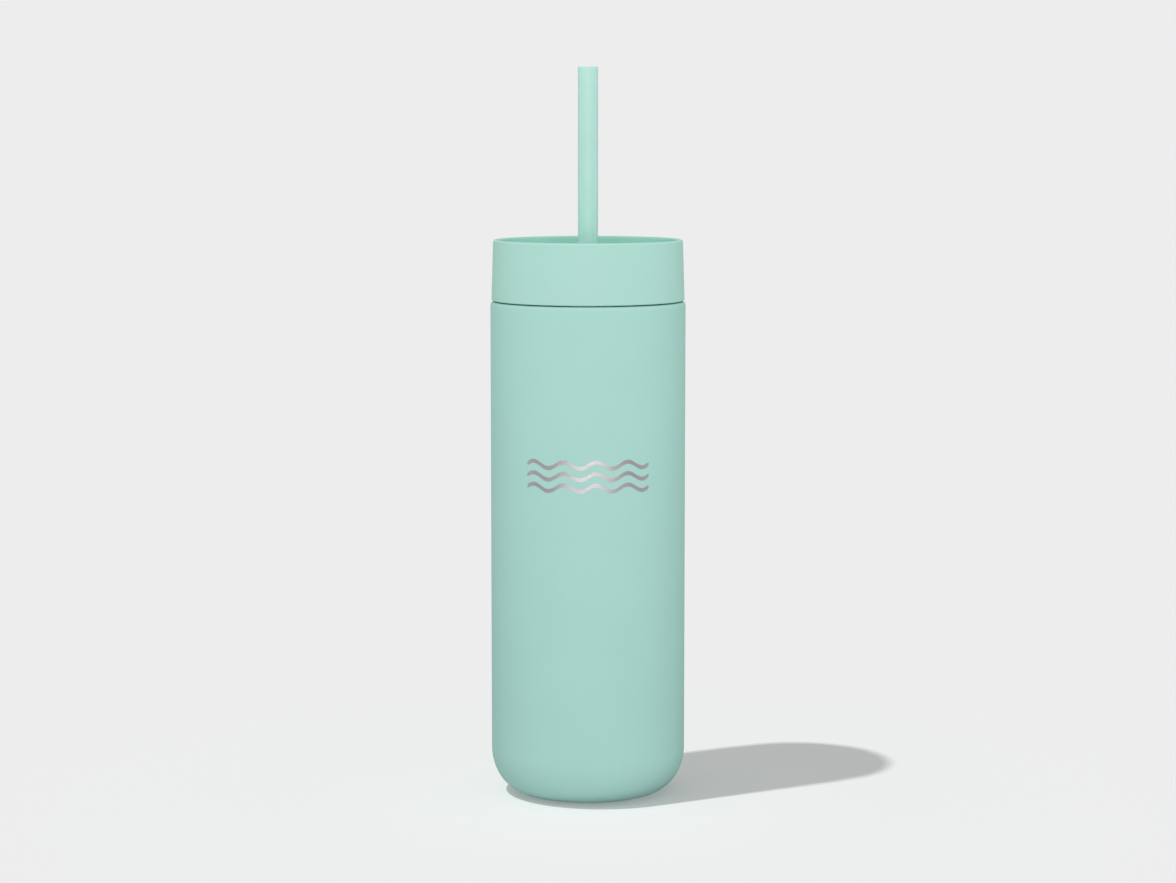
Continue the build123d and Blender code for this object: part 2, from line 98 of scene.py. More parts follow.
STOPPER_RADIUS, STOPPER_FOOT, STOPPER_TOP = reach("straw_stopper")

# ---------------------------------------------------------------- sizes the frame can't tell

SHEET = 0.6                 # outer shell and base plate
LINER_SHEET = 0.5
COVER_SHEET = 0.5
STRAP_SHEET = 0.3
FOIL_SHEET = 0.08
LINER_RADIUS = 32.9
LINER_CORNER = 14.0
CORNER_WIDTH = 13.4         # the shell's bottom corner is a quarter ellipse
CORNER_HEIGHT = 16.8
FLANGE_BORE = 22.4          # of the shell's turned-in flange
FLANGE_TOP = 4.0
LIP_THICK = 0.8
LIP_LEAD = 0.35             # the liner's bore tapers to the lip over this height
PORT_RADIUS = 0.8
FOOT_BORE = 13.7
FOOT_GROOVES = 2
SHOULDER_ROUND = 1.3
COLLAR = 4.0                # height of the shell's wall that belongs to its shoulder
COAT_MARGIN = 0.9           # the coat ends this far out from the liner
SWING_SHARE = 0.28          # a ripple's swing to either side, as a share of the ripples' spacing
MARK_PROUD = 0.03           # the mark fills the body's radius, and the coat lies this far inside it

LEAD = 9.0                  # of the screw thread, which has three starts
STARTS = 3
RIDGE_ROOT = 1.7
RIDGE_CREST = 0.7
RIDGE_FADE = 0.12           # share of its rise over which a ridge fades in and out
GROOVE_SHARE = 0.6          # depth of the rolled groove behind a neck ridge
NECK_START = 188.4          # height of a neck ridge's middle at its lower end
NECK_RISE = 6.0
NECK_RIDGE_TALL = 0.8
NECK_THREAD_FOOT = NECK_START - 1.2
NECK_THREAD_TOP = NECK_START + NECK_RISE + 1.1
LID_START = 188.3
LID_RISE = 4.2
LID_RIDGE_TALL = 0.9
LID_THREAD_FOOT = LID_START - 1.0
LID_THREAD_TOP = LID_START + LID_RISE + 1.0
LID_BELOW_NECK = 1.45

RIM_RADIUS = 35.4
RIM_WALL = 2.2
RIM_COAT = 1.1              # the lid's coat ends on the rim, this far out from its inner edge; inward of it the recess takes a darker colour that paints its shade
WALL_FOOT_RADIUS = 32.8
WALL_FOOT_ROUND = 2.5
DECK_TOP = 201.0
DECK_DISH = 0.4
DECK_FLAT = 8.0
DECK_UNDER = 199.5
SKIRT_BORE = 34.85
GROMMET_HOLE = 5.0

INSERT_BORE = 34.0
INSERT_TOP = 199.4
INSERT_UNDER = 198.2
PLUG_RADIUS = 31.6
PLUG_WALL = 1.0
PLUG_FOOT = 192.5
BOSS_RADIUS = 6.6
BOSS_FOOT = 194.5
RIBS = 6
PINS = 4
PIN_CIRCLE = 22.0
PIN_RADIUS = 1.2
VENT_AT = -14.0
VENT_RADIUS = 0.8
PAST = 1.0                  # cutters and ribs run this far past the face they meet

STRAW_BORE = 3.0
NOTCH_WIDTH = 4.0
NOTCH_TALL = 2.6
MOUTH_BORE = 3.3            # the straw's wall is thinner at the mouth
MOUTH_DEEP = 2.4

TURNS = 192                 # points round a piece
FINE_TURNS = 288            # points round the big visible pieces and the threads
SLIM_TURNS = 128            # points round the straw and its grommet
SMALL_TURNS = 96            # points round the small rings and the getter
BEAD_TURNS = 64
ARC_STEP = math.radians(8)  # longest step along a rounded edge
COARSE_STEP = 12.0          # between rings on a plain wall
COAT_STEP = 9.0
THREAD_STEP = 0.16          # between rings on a thread
SHARP = math.radians(34)    # edges sharper than this shade as edges
TOUCHING = 1e-6

WHITE = (1.0, 1.0, 1.0)
STREAK_RING = 30.0          # radius at which a streak has its stated length
CAMERA_PLACE = (0.0, -1.0984, 0.2545)   # in metres
CAMERA_DOWN = math.radians(6.302)
CAMERA_LENS = 90.0
CAMERA_REACH = 100.0
KEY_WIDTH = math.radians(1.6)           # of the key light's disc, which sets how soft the shadow is
BOX_SHARE = 0.9                         # a soft box's width as a share of its distance


# ---------------------------------------------------------------- outlines

def outline(corners, closed=False):
    """Points along straight lines whose corners may be rounded.

    A corner is (radius, height) or (radius, height, rounding). A closed outline ends on its first point.
    """
    count = len(corners)
    points = []
    for n, corner in enumerate(corners):
        here = Vector(corner[:2])
        rounding = corner[2] if len(corner) > 2 else 0
        inside_run = closed or 0 < n < count - 1
        if not rounding or not inside_run:
            points.append((here.x, here.y))
            continue
        back = (Vector(corners[n - 1][:2]) - here).normalized()
        onward = (Vector(corners[(n + 1) % count][:2]) - here).normalized()
        half = back.angle(onward) / 2
        centre = here + (back + onward).normalized() * rounding / math.sin(half)
        first = here + back * rounding / math.tan(half) - centre
        sweep = math.copysign(math.pi - 2 * half, back.x * onward.y - back.y * onward.x) * -1
        steps = max(2, math.ceil(abs(sweep) / ARC_STEP))
        for s in range(steps + 1):
            turned = Matrix.Rotation(sweep * s / steps, 2) @ first
            points.append((centre.x + turned.x, centre.y + turned.y))
    if closed:
        points.append(points[0])
    return points


def arc(centre, width, height, start, end):
    """Points on an ellipse about centre, from one angle to another in degrees."""
    steps = max(2, math.ceil(math.radians(abs(end - start)) / ARC_STEP) * 2)
    angles = [math.radians(start + (end - start) * s / steps) for s in range(steps + 1)]
    return [(centre[0] + width * math.cos(a), centre[1] + height * math.sin(a)) for a in angles]


def climb(radius, start, end, step):
    """Points up or down a straight wall, close enough together to carry a thread or a crinkle."""
    steps = max(1, round(abs(end - start) / step))
    return [(radius, start + (end - start) * s / steps) for s in range(steps + 1)]


def joined(*runs):
    """One run of points from several, without the points that repeat where they meet."""
    points = []
    for run in runs:
        skip = 1 if points and math.dist(points[-1], run[0]) < TOUCHING else 0
        points += run[skip:]
    return points


def thread_height(angle, height, start, rise, tall, phase):
    """How far a three-start thread stands out of its wall at a place on the wall."""
    out = 0.0
    for n in range(STARTS):
        turned = ((angle - phase) / TAU - n / STARTS) % 1
        climbed = turned * LEAD
        if climbed > rise:
            continue
        away = abs(height - start - climbed)
        flank = (RIDGE_ROOT / 2 - away) / ((RIDGE_ROOT - RIDGE_CREST) / 2)
        fade = min(climbed, rise - climbed) / (RIDGE_FADE * rise)
        out = max(out, tall * min(1.0, max(0.0, flank)) * min(1.0, fade))
    return out


def pin_place(n):
    """Where locating pin n stands, as x and y."""
    angle = TAU * n / PINS + TAU / PINS / 2
    return PIN_CIRCLE * math.cos(angle), PIN_CIRCLE * math.sin(angle)


# ---------------------------------------------------------------- mesh making

def finish_mesh(name, vertices, faces, materials, slots=None):
    """Make a closed skin and put it in the scene as a piece with smooth faces and crisp edges."""
    mesh = bpy.data.meshes.new(name)
    mesh.from_pydata(vertices, [], faces)
    if slots:
        mesh.polygons.foreach_set("material_index", slots)
    work = bmesh.new()
    work.from_mesh(mesh)
    bmesh.ops.recalc_face_normals(work, faces=work.faces)
    work.to_mesh(mesh)
    work.free()
    mesh.validate()
    piece = bpy.data.objects.new(name, mesh)
    bpy.context.scene.collection.objects.link(piece)
    for material in materials:
        mesh.materials.append(material)
    mesh.shade_smooth()
    mesh.set_sharp_from_angle(angle=SHARP)
    return piece


def on_circle(radius, angle, height):
    """A vertex in metres at a radius, an angle and a height."""
    return radius * math.cos(angle) * MM, radius * math.sin(angle) * MM, height * MM


def lathe(name, runs, materials, turns=TURNS, bend=None):
    """A closed skin turned about Z.

    runs is a list of (points, material number). Each run starts where the one before it ended, and
    the last ends on the first point, or the whole run starts and ends on the axis. bend, given
    (angle, radius, height), may put a point elsewhere by returning a new radius and height.
    """
    ring = [(r, z, slot) for points, slot in runs for r, z in points[:-1]]
    first, last = runs[0][0][0], runs[-1][0][-1]
    looped = math.dist(first, last) < TOUCHING
    if not looped:
        ring.append((*last, runs[-1][1]))
    vertices, rows = [], []
    for radius, height, _ in ring:
        if radius < TOUCHING:
            rows.append([len(vertices)] * turns)
            vertices.append((0.0, 0.0, height * MM))
            continue
        rows.append(list(range(len(vertices), len(vertices) + turns)))
        for n in range(turns):
            angle = TAU * n / turns
            r, z = bend(angle, radius, height) if bend else (radius, height)
            vertices.append(on_circle(r, angle, z))
    faces, slots = [], []
    for n in range(len(ring) if looped else len(ring) - 1):
        low, high = rows[n], rows[(n + 1) % len(ring)]
        for a in range(turns):
            b = (a + 1) % turns
            faces.append(list(dict.fromkeys((low[a], low[b], high[b], high[a]))))
            slots.append(ring[n][2])
    return finish_mesh(name, vertices, faces, materials, slots)


def rod(radius, foot, top, x=0.0, y=0.0, sides=48):
    """A plain round cutter or peg, as an object that carve() uses up."""
    work = bmesh.new()
    bmesh.ops.create_cone(
        work, cap_ends=True, segments=sides, radius1=radius * MM, radius2=radius * MM,
        depth=(top - foot) * MM, matrix=Matrix.Translation((x * MM, y * MM, (foot + top) / 2 * MM)),
    )
    return loose(work)


def bar(length, width, height, centre, turn):
    """A plain block that lies along its own radius, as an object that carve() uses up."""
    work = bmesh.new()
    place = Matrix.Rotation(turn, 4, "Z") @ Matrix.Translation(Vector(centre) * MM)
    size = Matrix.Diagonal((length * MM, width * MM, height * MM, 1))
    bmesh.ops.create_cube(work, size=1.0, matrix=place @ size)
    return loose(work)


def loose(work):
    """Turn a bmesh into an object in the scene."""
    mesh = bpy.data.meshes.new("tool")
    work.to_mesh(mesh)
    work.free()
    tool = bpy.data.objects.new("tool", mesh)
    bpy.context.scene.collection.objects.link(tool)
    return tool


def carve(piece, tools, operation):
    """Cut tools out of a piece or join them to it, and throw the tools away."""
    for tool in tools:
        cut = piece.modifiers.new("carve", "BOOLEAN")
        cut.object = tool
        cut.operation = operation
        cut.solver = "EXACT"
    graph = bpy.context.evaluated_depsgraph_get()
    mesh = bpy.data.meshes.new_from_object(piece.evaluated_get(graph))
    piece.modifiers.clear()
    old = piece.data
    piece.data = mesh
    bpy.data.meshes.remove(old)
    mesh.name = piece.name
    for tool in tools:
        bpy.data.meshes.remove(tool.data)
    mesh.set_sharp_from_angle(angle=SHARP)


def settle(piece, body, slot, *nodes):
    """Hang a finished piece on its body, in place of the CAD nodes it stands for."""
    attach(piece, body)
    if nodes:
        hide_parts(*nodes)


# ---------------------------------------------------------------- shader building blocks

def new_group(name, inputs, outputs):
    """A shader node group with named float or colour inputs and outputs."""
    group = bpy.data.node_groups.new(name, "ShaderNodeTree")
    for label, default in inputs:
        kind = "NodeSocketFloat" if isinstance(default, (int, float)) else "NodeSocketColor"
        socket = group.interface.new_socket(label, in_out="INPUT", socket_type=kind)
        socket.default_value = default
    for label, kind in outputs:
        group.interface.new_socket(label, in_out="OUTPUT", socket_type=kind)
    return group, group.nodes.new("NodeGroupInput"), group.nodes.new("NodeGroupOutput")


def add_node(tree, kind, values=None, **settings):
    """Add a node, set its options and the sockets in values, and link those given as sockets."""
    node = tree.nodes.new(kind)
    for key, value in settings.items():
        setattr(node, key, value)
    for key, value in (values or {}).items():
        if isinstance(value, bpy.types.NodeSocket):
            tree.links.new(value, node.inputs[key])
        else:
            node.inputs[key].default_value = value
    return node


def maths(tree, operation, a, b=0.5, clamp=False):
    """A Math node's result for two numbers or sockets."""
    return add_node(tree, "ShaderNodeMath", {0: a, 1: b}, operation=operation, use_clamp=clamp).outputs[0]


def place_group(tree, group, values):
    """Put a shared group in a material with its own values, and give its outputs."""
    node = tree.nodes.new("ShaderNodeGroup")
    node.node_tree = group
    for label, value in values.items():
        node.inputs[label].default_value = value
    return node.outputs


def fine_grain_group():
    """Height and mask of a fine grain over a slow swell, as on powder coat and moulded plastic."""
    group, given, result = new_group(
        "Fine Grain",
        [("Grain Size", 0.5), ("Swell Size", 3.0), ("Swell Share", 0.4)],
        [("Height", "NodeSocketFloat"), ("Mask", "NodeSocketFloat")],
    )
    place = add_node(group, "ShaderNodeTexCoord").outputs["Object"]
    fine = maths(group, "DIVIDE", 1 / MM, given.outputs["Grain Size"])
    slow = maths(group, "DIVIDE", 1 / MM, given.outputs["Swell Size"])
    grain = add_node(group, "ShaderNodeTexNoise", {"Vector": place, "Scale": fine, "Detail": 2.0})
    swell = add_node(group, "ShaderNodeTexNoise", {"Vector": place, "Scale": slow, "Detail": 1.0})
    mixed = add_node(
        group, "ShaderNodeMix",
        {"Factor": given.outputs["Swell Share"], "A": grain.outputs["Fac"], "B": swell.outputs["Fac"]},
    )
    group.links.new(mixed.outputs[0], result.inputs["Height"])
    group.links.new(grain.outputs["Fac"], result.inputs["Mask"])
    return group


def mottle_group():
    """A colour that drifts a little lighter and darker over the surface."""
    group, given, result = new_group(
        "Soft Mottle",
        [("Colour", (0.5, 0.5, 0.5, 1.0)), ("Patch Size", 20.0), ("Amount", 0.04)],
        [("Colour", "NodeSocketColor")],
    )
    place = add_node(group, "ShaderNodeTexCoord").outputs["Object"]
    scale = maths(group, "DIVIDE", 1 / MM, given.outputs["Patch Size"])
    patches = add_node(group, "ShaderNodeTexNoise", {"Vector": place, "Scale": scale, "Detail": 3.0})
    centred = maths(group, "SUBTRACT", patches.outputs["Fac"], 0.5)
    drift = maths(group, "MULTIPLY", centred, given.outputs["Amount"])
    value = maths(group, "ADD", drift, 1.0)
    tinted = add_node(
        group, "ShaderNodeHueSaturation", {"Color": given.outputs["Colour"], "Value": value}
    )
    group.links.new(tinted.outputs["Color"], result.inputs["Colour"])
    return group


def turned_streaks_group():
    """Streaks that run round the axis, as a lathe or a spinning pad leaves on steel."""
    group, given, result = new_group(
        "Turned Streaks",
        [("Streak Width", 0.15), ("Streak Length", 14.0)],
        [("Streak", "NodeSocketFloat")],
    )
    place = add_node(group, "ShaderNodeTexCoord").outputs["Object"]
    parts = add_node(group, "ShaderNodeSeparateXYZ", {"Vector": place})
    x, y, z = parts.outputs[0], parts.outputs[1], parts.outputs[2]
    squares = maths(group, "ADD", maths(group, "MULTIPLY", x, x), maths(group, "MULTIPLY", y, y))
    radius = maths(group, "SQRT", squares)
    angle = maths(group, "ARCTAN2", y, x)
    # The angle goes in as a place on a circle, so that there is no seam at half a turn.
    wind = maths(group, "DIVIDE", STREAK_RING, given.outputs["Streak Length"])
    across = maths(group, "DIVIDE", 1 / MM, given.outputs["Streak Width"])
    thin = maths(group, "MULTIPLY", maths(group, "ADD", radius, z), across)
    spot = add_node(
        group, "ShaderNodeCombineXYZ",
        {
            0: maths(group, "MULTIPLY", maths(group, "COSINE", angle), wind),
            1: maths(group, "MULTIPLY", maths(group, "SINE", angle), wind),
            2: thin,
        },
    )
    streak = add_node(group, "ShaderNodeTexNoise", {"Vector": spot.outputs[0], "Scale": 1.0, "Detail": 3.0})
    group.links.new(streak.outputs["Fac"], result.inputs["Streak"])
    return group


def height_mask_group():
    """A mask that is one below a height and fades to nothing above it, for scuffs and dust."""
    group, given, result = new_group(
        "Height Mask",
        [("Height", 1.0), ("Fade", 0.5), ("Breakup Size", 1.0)],
        [("Mask", "NodeSocketFloat")],
    )
    place = add_node(group, "ShaderNodeTexCoord").outputs["Object"]
    up = add_node(group, "ShaderNodeSeparateXYZ", {"Vector": place}).outputs[2]
    scale = maths(group, "DIVIDE", 1 / MM, given.outputs["Breakup Size"])
    rough = add_node(group, "ShaderNodeTexNoise", {"Vector": place, "Scale": scale, "Detail": 4.0})
    below = maths(group, "SUBTRACT", given.outputs["Height"], maths(group, "DIVIDE", up, MM))
    share = maths(group, "DIVIDE", below, given.outputs["Fade"], clamp=True)
    mask = maths(group, "MULTIPLY", share, rough.outputs["Fac"], clamp=True)
    group.links.new(mask, result.inputs["Mask"])
    return group


def split_by_camera(tree, shader, seen, otherwise, output):
    """Fill a world or floor tree with one grey for the camera and another for all other rays."""
    tree.nodes.clear()
    shades = [add_node(tree, shader, {"Color": (value, value, value, 1.0)}) for value in (otherwise, seen)]
    path = add_node(tree, "ShaderNodeLightPath")
    both = add_node(
        tree, "ShaderNodeMixShader",
        {0: path.outputs["Is Camera Ray"], 1: shades[0].outputs[0], 2: shades[1].outputs[0]},
    )
    add_node(tree, output, {"Surface": both.outputs[0]})


def blank(name):
    """A new material and its node tree."""
    material = bpy.data.materials.new(name)
    material.use_nodes = True
    return material, material.node_tree


def glow(weight, depth):
    """Settings that let light into a surface, to a depth in millimetres."""
    return {"Subsurface Weight": weight, "Subsurface Radius": (0.7, 1.0, 0.9), "Subsurface Scale": depth * MM}


def dress(tree, color, mask, dull, height, depth, plain):
    """Set up a material's shader.

    dull is the range of roughness that the mask spans, depth in millimetres is what the height stands
    for, and plain holds the values that are the same all over.
    """
    shader = tree.nodes["Principled BSDF"]
    low, high = dull
    rough = add_node(tree, "ShaderNodeMapRange", {"Value": mask, "To Min": low, "To Max": high})
    relief = add_node(tree, "ShaderNodeBump", {"Height": height, "Distance": depth * MM})
    tree.links.new(color, shader.inputs["Base Color"])
    tree.links.new(rough.outputs[0], shader.inputs["Roughness"])
    tree.links.new(relief.outputs["Normal"], shader.inputs["Normal"])
    for socket, value in plain.items():
        shader.inputs[socket].default_value = value


class Finishes:
    """The materials, made once each from the settings."""

    def __init__(self, looks):
        self.looks = looks
        self.grain = fine_grain_group()
        self.mottle = mottle_group()
        self.streaks = turned_streaks_group()
        self.low_mask = height_mask_group()
        self.coat = self.powder_coat()
        self.bare_steel = self.steel("Bare Steel", 0.30, 0.16, 22.0)
        self.liner_steel = self.steel("Satin Liner Steel", 0.27, 0.22, 34.0)
        self.spun_steel = self.steel("Spun Base Steel", 0.24, 0.10, 40.0)
        self.copper = self.copper_foil()
        self.glass = self.solder_glass()
        self.getter = self.getter_powder()
        self.lid_coat = self.moulded("Lid Soft Coat", looks.lid_color, 0.58)
        # The lid's recess and the insert take a darker colour than the lid's outside: painted shade for the
        # sunken deck and its splash wall.
        self.lid_plastic = self.moulded("Lid Plastic Painted Shade", looks.recess_shade_color, 0.46)
        self.insert_plastic = self.moulded("Insert Plastic", looks.recess_shade_color, 0.48)
        self.clear_silicone = self.silicone("Milky Silicone", looks.gasket_color, 0.5)
        self.mint_silicone = self.silicone("Mint Silicone", looks.grommet_color, 0.25)
        self.foot_silicone = self.foot_rubber()
        self.straw = self.straw_plastic()
        self.etched = self.etched_steel()

    def tint(self, tree, color, patch, drift):
        """A colour that drifts by a share over patches of a size in millimetres."""
        values = {"Colour": (*color, 1.0), "Patch Size": patch, "Amount": drift}
        return place_group(tree, self.mottle, values)["Colour"]

    def grained(self, name, color, mottle, grain, dull, depth, plain, worn=None):
        """A material with a fine grain.

        mottle is the colour's patch size and drift, and grain holds the size of the grain, the size
        of its swell and the swell's share. worn, given the tree and the clean colour, may return
        another colour.
        """
        material, tree = blank(name)
        values = dict(zip(("Grain Size", "Swell Size", "Swell Share"), grain))
        made = place_group(tree, self.grain, values)
        shade = self.tint(tree, color, *mottle)
        if worn:
            shade = worn(tree, shade)
        dress(tree, shade, made["Mask"], dull, made["Height"], depth, plain)
        return material

    def streaked(self, name, color, mottle, streak, dull, depth):
        """Bare steel with streaks of a width and a length in millimetres round the axis."""
        material, tree = blank(name)
        values = dict(zip(("Streak Width", "Streak Length"), streak))
        made = place_group(tree, self.streaks, values)["Streak"]
        dress(tree, self.tint(tree, color, *mottle), made, dull, made, depth, {"Metallic": 1.0})
        return material

    def powder_coat(self):
        """Matt powder coat: a faint orange peel under a fine dry grain."""
        return self.grained(
            "Mint Powder Coat", self.looks.coat_color, mottle=(26.0, 0.05), grain=(0.16, 1.3, 0.45),
            dull=(0.50, 0.66), depth=0.035, plain={"Specular IOR Level": 0.08},
        )

    def moulded(self, name, color, roughness):
        """Satin moulded plastic with a spark-eroded texture."""
        return self.grained(
            name, color, mottle=(34.0, 0.035), grain=(0.09, 9.0, 0.25),
            dull=(roughness - 0.05, roughness + 0.08), depth=0.014,
            plain={"Specular IOR Level": 0.18, **glow(0.08, 0.6)},
        )

    def silicone(self, name, color, milky):
        """Soft silicone: dull, slightly waxy, and lit a little from within."""
        return self.grained(
            name, color, mottle=(8.0, 0.05), grain=(0.25, 2.4, 0.5), dull=(0.52, 0.68), depth=0.012,
            plain={"Specular IOR Level": 0.34, **glow(milky, 1.2)},
        )

    def foot_rubber(self):
        """Mint silicone that has picked up grey scuffs where it meets the table."""
        scuff_grey = (0.30, 0.31, 0.30, 1.0)
        scuff_share = 0.35
        scuff_place = {"Height": 0.5, "Fade": 0.5, "Breakup Size": 2.5}

        def scuffed(tree, clean):
            """Mix grey into the colour low on the ring."""
            low = place_group(tree, self.low_mask, scuff_place)["Mask"]
            share = maths(tree, "MULTIPLY", low, scuff_share)
            mixed = add_node(
                tree, "ShaderNodeMix", {"Factor": share, "A": clean, "B": scuff_grey}, data_type="RGBA"
            )
            return mixed.outputs["Result"]

        return self.grained(
            "Foot Silicone", self.looks.grommet_color, mottle=(6.0, 0.06), grain=(0.2, 2.0, 0.4),
            dull=(0.6, 0.78), depth=0.02, plain={"Specular IOR Level": 0.3}, worn=scuffed,
        )

    def steel(self, name, roughness, width, length):
        """Stainless steel with fine streaks round the axis."""
        return self.streaked(
            name, self.looks.steel_color, mottle=(30.0, 0.06), streak=(width, length),
            dull=(roughness - 0.08, roughness + 0.12), depth=0.010,
        )

    def copper_foil(self):
        """Bright rolled copper with small creases."""
        return self.grained(
            "Copper Foil", self.looks.copper_color, mottle=(12.0, 0.16), grain=(0.8, 5.0, 0.6),
            dull=(0.16, 0.34), depth=0.10, plain={"Metallic": 1.0},
        )

    def solder_glass(self):
        """Dark, glossy bead of solder glass with a few seeds in it."""
        brown_glass = (0.055, 0.042, 0.026)
        return self.grained(
            "Solder Glass", brown_glass, mottle=(1.2, 0.9), grain=(0.3, 1.2, 0.7),
            dull=(0.06, 0.16), depth=0.02, plain={"Coat Weight": 0.6},
        )

    def getter_powder(self):
        """Pressed metal powder: grey, porous and dull."""
        powder_grey = (0.095, 0.095, 0.10)
        return self.grained(
            "Getter Powder", powder_grey, mottle=(0.5, 0.8), grain=(0.22, 1.0, 0.3),
            dull=(0.7, 0.95), depth=0.12, plain={"Metallic": 0.35},
        )

    def straw_plastic(self):
        """Milky tinted plastic that light soaks through."""
        return self.grained(
            "Straw Plastic", self.looks.straw_color, mottle=(30.0, 0.03), grain=(0.9, 14.0, 0.6),
            dull=(0.38, 0.46), depth=0.002, plain=glow(self.looks.straw_glow, 2.0),
        )

    def etched_steel(self):
        """Steel laid bare by a laser: fine level scan lines and a soft silver grain."""
        return self.streaked(
            "Etched Steel", self.looks.mark_color, mottle=(5.0, 0.22), streak=(0.12, 60.0),
            dull=(0.30, 0.52), depth=0.02,
        )


finishes = {}


def finish(name):
    """A material from the set, which is made when the first piece asks for it."""
    if "set" not in finishes:
        finishes["set"] = Finishes(bpy.context.scene.tumbler_looks)
    return getattr(finishes["set"], name)


# ---------------------------------------------------------------- settings

class TumblerLooks(bpy.types.PropertyGroup):
    """Colours and finishes a user would change."""

    coat_color: FloatVectorProperty(
        name="Coat", description="Powder coat on the cup", subtype="COLOR", size=3,
        min=0.0, max=1.0, default=(0.420, 0.700, 0.640),
    )
    lid_color: FloatVectorProperty(
        name="Lid", description="Soft coat on the outside of the lid", subtype="COLOR", size=3,
        min=0.0, max=1.0, default=(0.440, 0.715, 0.646),
    )
    # Darker than the lid's outside: painted shade in the lid's recess, which the insert shares.
    recess_shade_color: FloatVectorProperty(
        name="Recess shade", description="Plastic of the lid's recess and its insert, darkened to paint the shade in the recess", subtype="COLOR", size=3,
        min=0.0, max=1.0, default=(0.365, 0.675, 0.585),
    )
    straw_color: FloatVectorProperty(
        name="Straw", description="Tint of the straw and its stopper", subtype="COLOR", size=3,
        min=0.0, max=1.0, default=(0.49, 0.80, 0.705),
    )
    straw_glow: FloatProperty(
        name="Straw glow", description="How much light soaks through the straw's wall", subtype="FACTOR",
        min=0.0, max=1.0, default=0.7,
    )
    grommet_color: FloatVectorProperty(
        name="Grommet and foot", description="Silicone of the straw grommet and the foot ring",
        subtype="COLOR", size=3, min=0.0, max=1.0, default=(0.30, 0.60, 0.51),
    )
    gasket_color: FloatVectorProperty(
        name="Gasket", description="Silicone of the lid gasket", subtype="COLOR", size=3,
        min=0.0, max=1.0, default=(0.72, 0.78, 0.75),
    )
    steel_color: FloatVectorProperty(
        name="Steel", description="Bare stainless steel", subtype="COLOR", size=3,
        min=0.0, max=1.0, default=(0.66, 0.65, 0.63),
    )
    mark_color: FloatVectorProperty(
        name="Mark", description="Steel laid bare by the etched mark", subtype="COLOR", size=3,
        min=0.0, max=1.0, default=(0.54, 0.515, 0.52),
    )
    copper_color: FloatVectorProperty(
        name="Foil", description="Copper foil in the vacuum gap", subtype="COLOR", size=3,
        min=0.0, max=1.0, default=(0.86, 0.45, 0.29),
    )


class TumblerMark(bpy.types.PropertyGroup):
    """The etched ripple mark on the front of the cup."""

    width: FloatProperty(
        name="Width", description="Length of the ripples round the cup", subtype="DISTANCE", unit="LENGTH",
        min=0.01, max=0.08, default=0.048,
    )
    height: FloatProperty(
        name="Height", description="Height of the middle of the mark above the table", subtype="DISTANCE",
        unit="LENGTH", min=0.04, max=0.17, default=0.1241,
    )
    spacing: FloatProperty(
        name="Spacing", description="From one ripple to the next", subtype="DISTANCE", unit="LENGTH",
        min=0.002, max=0.01, default=0.0042,
    )
    thickness: FloatProperty(
        name="Line width", description="Width of one ripple line", subtype="DISTANCE", unit="LENGTH",
        min=0.0004, max=0.003, default=0.0015,
    )
    lines: IntProperty(name="Lines", description="Number of ripples", min=1, max=6, default=3)
    waves: FloatProperty(
        name="Waves", description="Crests along one ripple", min=1.0, max=12.0, default=4.0,
    )


class TumblerStage(bpy.types.PropertyGroup):
    """Floor, light and camera."""

    floor_shade: FloatProperty(
        name="Floor shade", description="Lightness of the floor as the camera sees it, in linear light",
        subtype="FACTOR", min=0.1, max=1.0, default=0.847,
    )
    floor_albedo: FloatProperty(
        name="Floor reflectance", description="Share of light that the floor gives back", subtype="FACTOR",
        min=0.1, max=1.0, default=0.80,
    )
    floor_bounce: FloatProperty(
        name="Floor bounce", description="Share of light that the floor throws up at the tumbler",
        subtype="FACTOR", min=0.0, max=1.0, default=0.54,
    )
    key_share: FloatProperty(
        name="Key share", description="Share of the floor's light that the shadow takes away",
        subtype="FACTOR", min=0.0, max=0.9, default=0.44,
    )
    dome_share: FloatProperty(
        name="Dome share", description="Share of the floor's light that comes from all over the sky",
        subtype="FACTOR", min=0.0, max=0.9, default=0.32,
    )
    key_elevation: FloatProperty(
        name="Key elevation", description="Height of the key light above the horizon", subtype="ANGLE",
        min=0.1, max=1.5, default=math.radians(65.0),
    )
    key_azimuth: FloatProperty(
        name="Key azimuth", description="Heading of the key light's rays, from +X towards +Y",
        subtype="ANGLE", min=-3.15, max=3.15, default=math.radians(30.0),
    )
    front_box: FloatProperty(
        name="Front box", description="Strength of the soft box in front of the tumbler",
        min=0.0, max=2.0, default=0.55,
    )
    side_box: FloatProperty(
        name="Side boxes", description="Strength of the soft boxes on the left and the right",
        min=0.0, max=2.0, default=0.205,
    )
    side_tint: FloatVectorProperty(
        name="Side tint", description="Colour of the two soft boxes at the sides",
        subtype="COLOR", size=3, min=0.0, max=1.0, default=(0.84, 1.0, 0.90),
    )
    back_box: FloatProperty(
        name="Back box", description="Strength of the soft box behind the tumbler",
        min=0.0, max=2.0, default=0.15,
    )
    top_box: FloatProperty(
        name="Top box", description="Strength of the soft box above the tumbler",
        min=0.0, max=2.0, default=0.36,
    )


# ---------------------------------------------------------------- cup

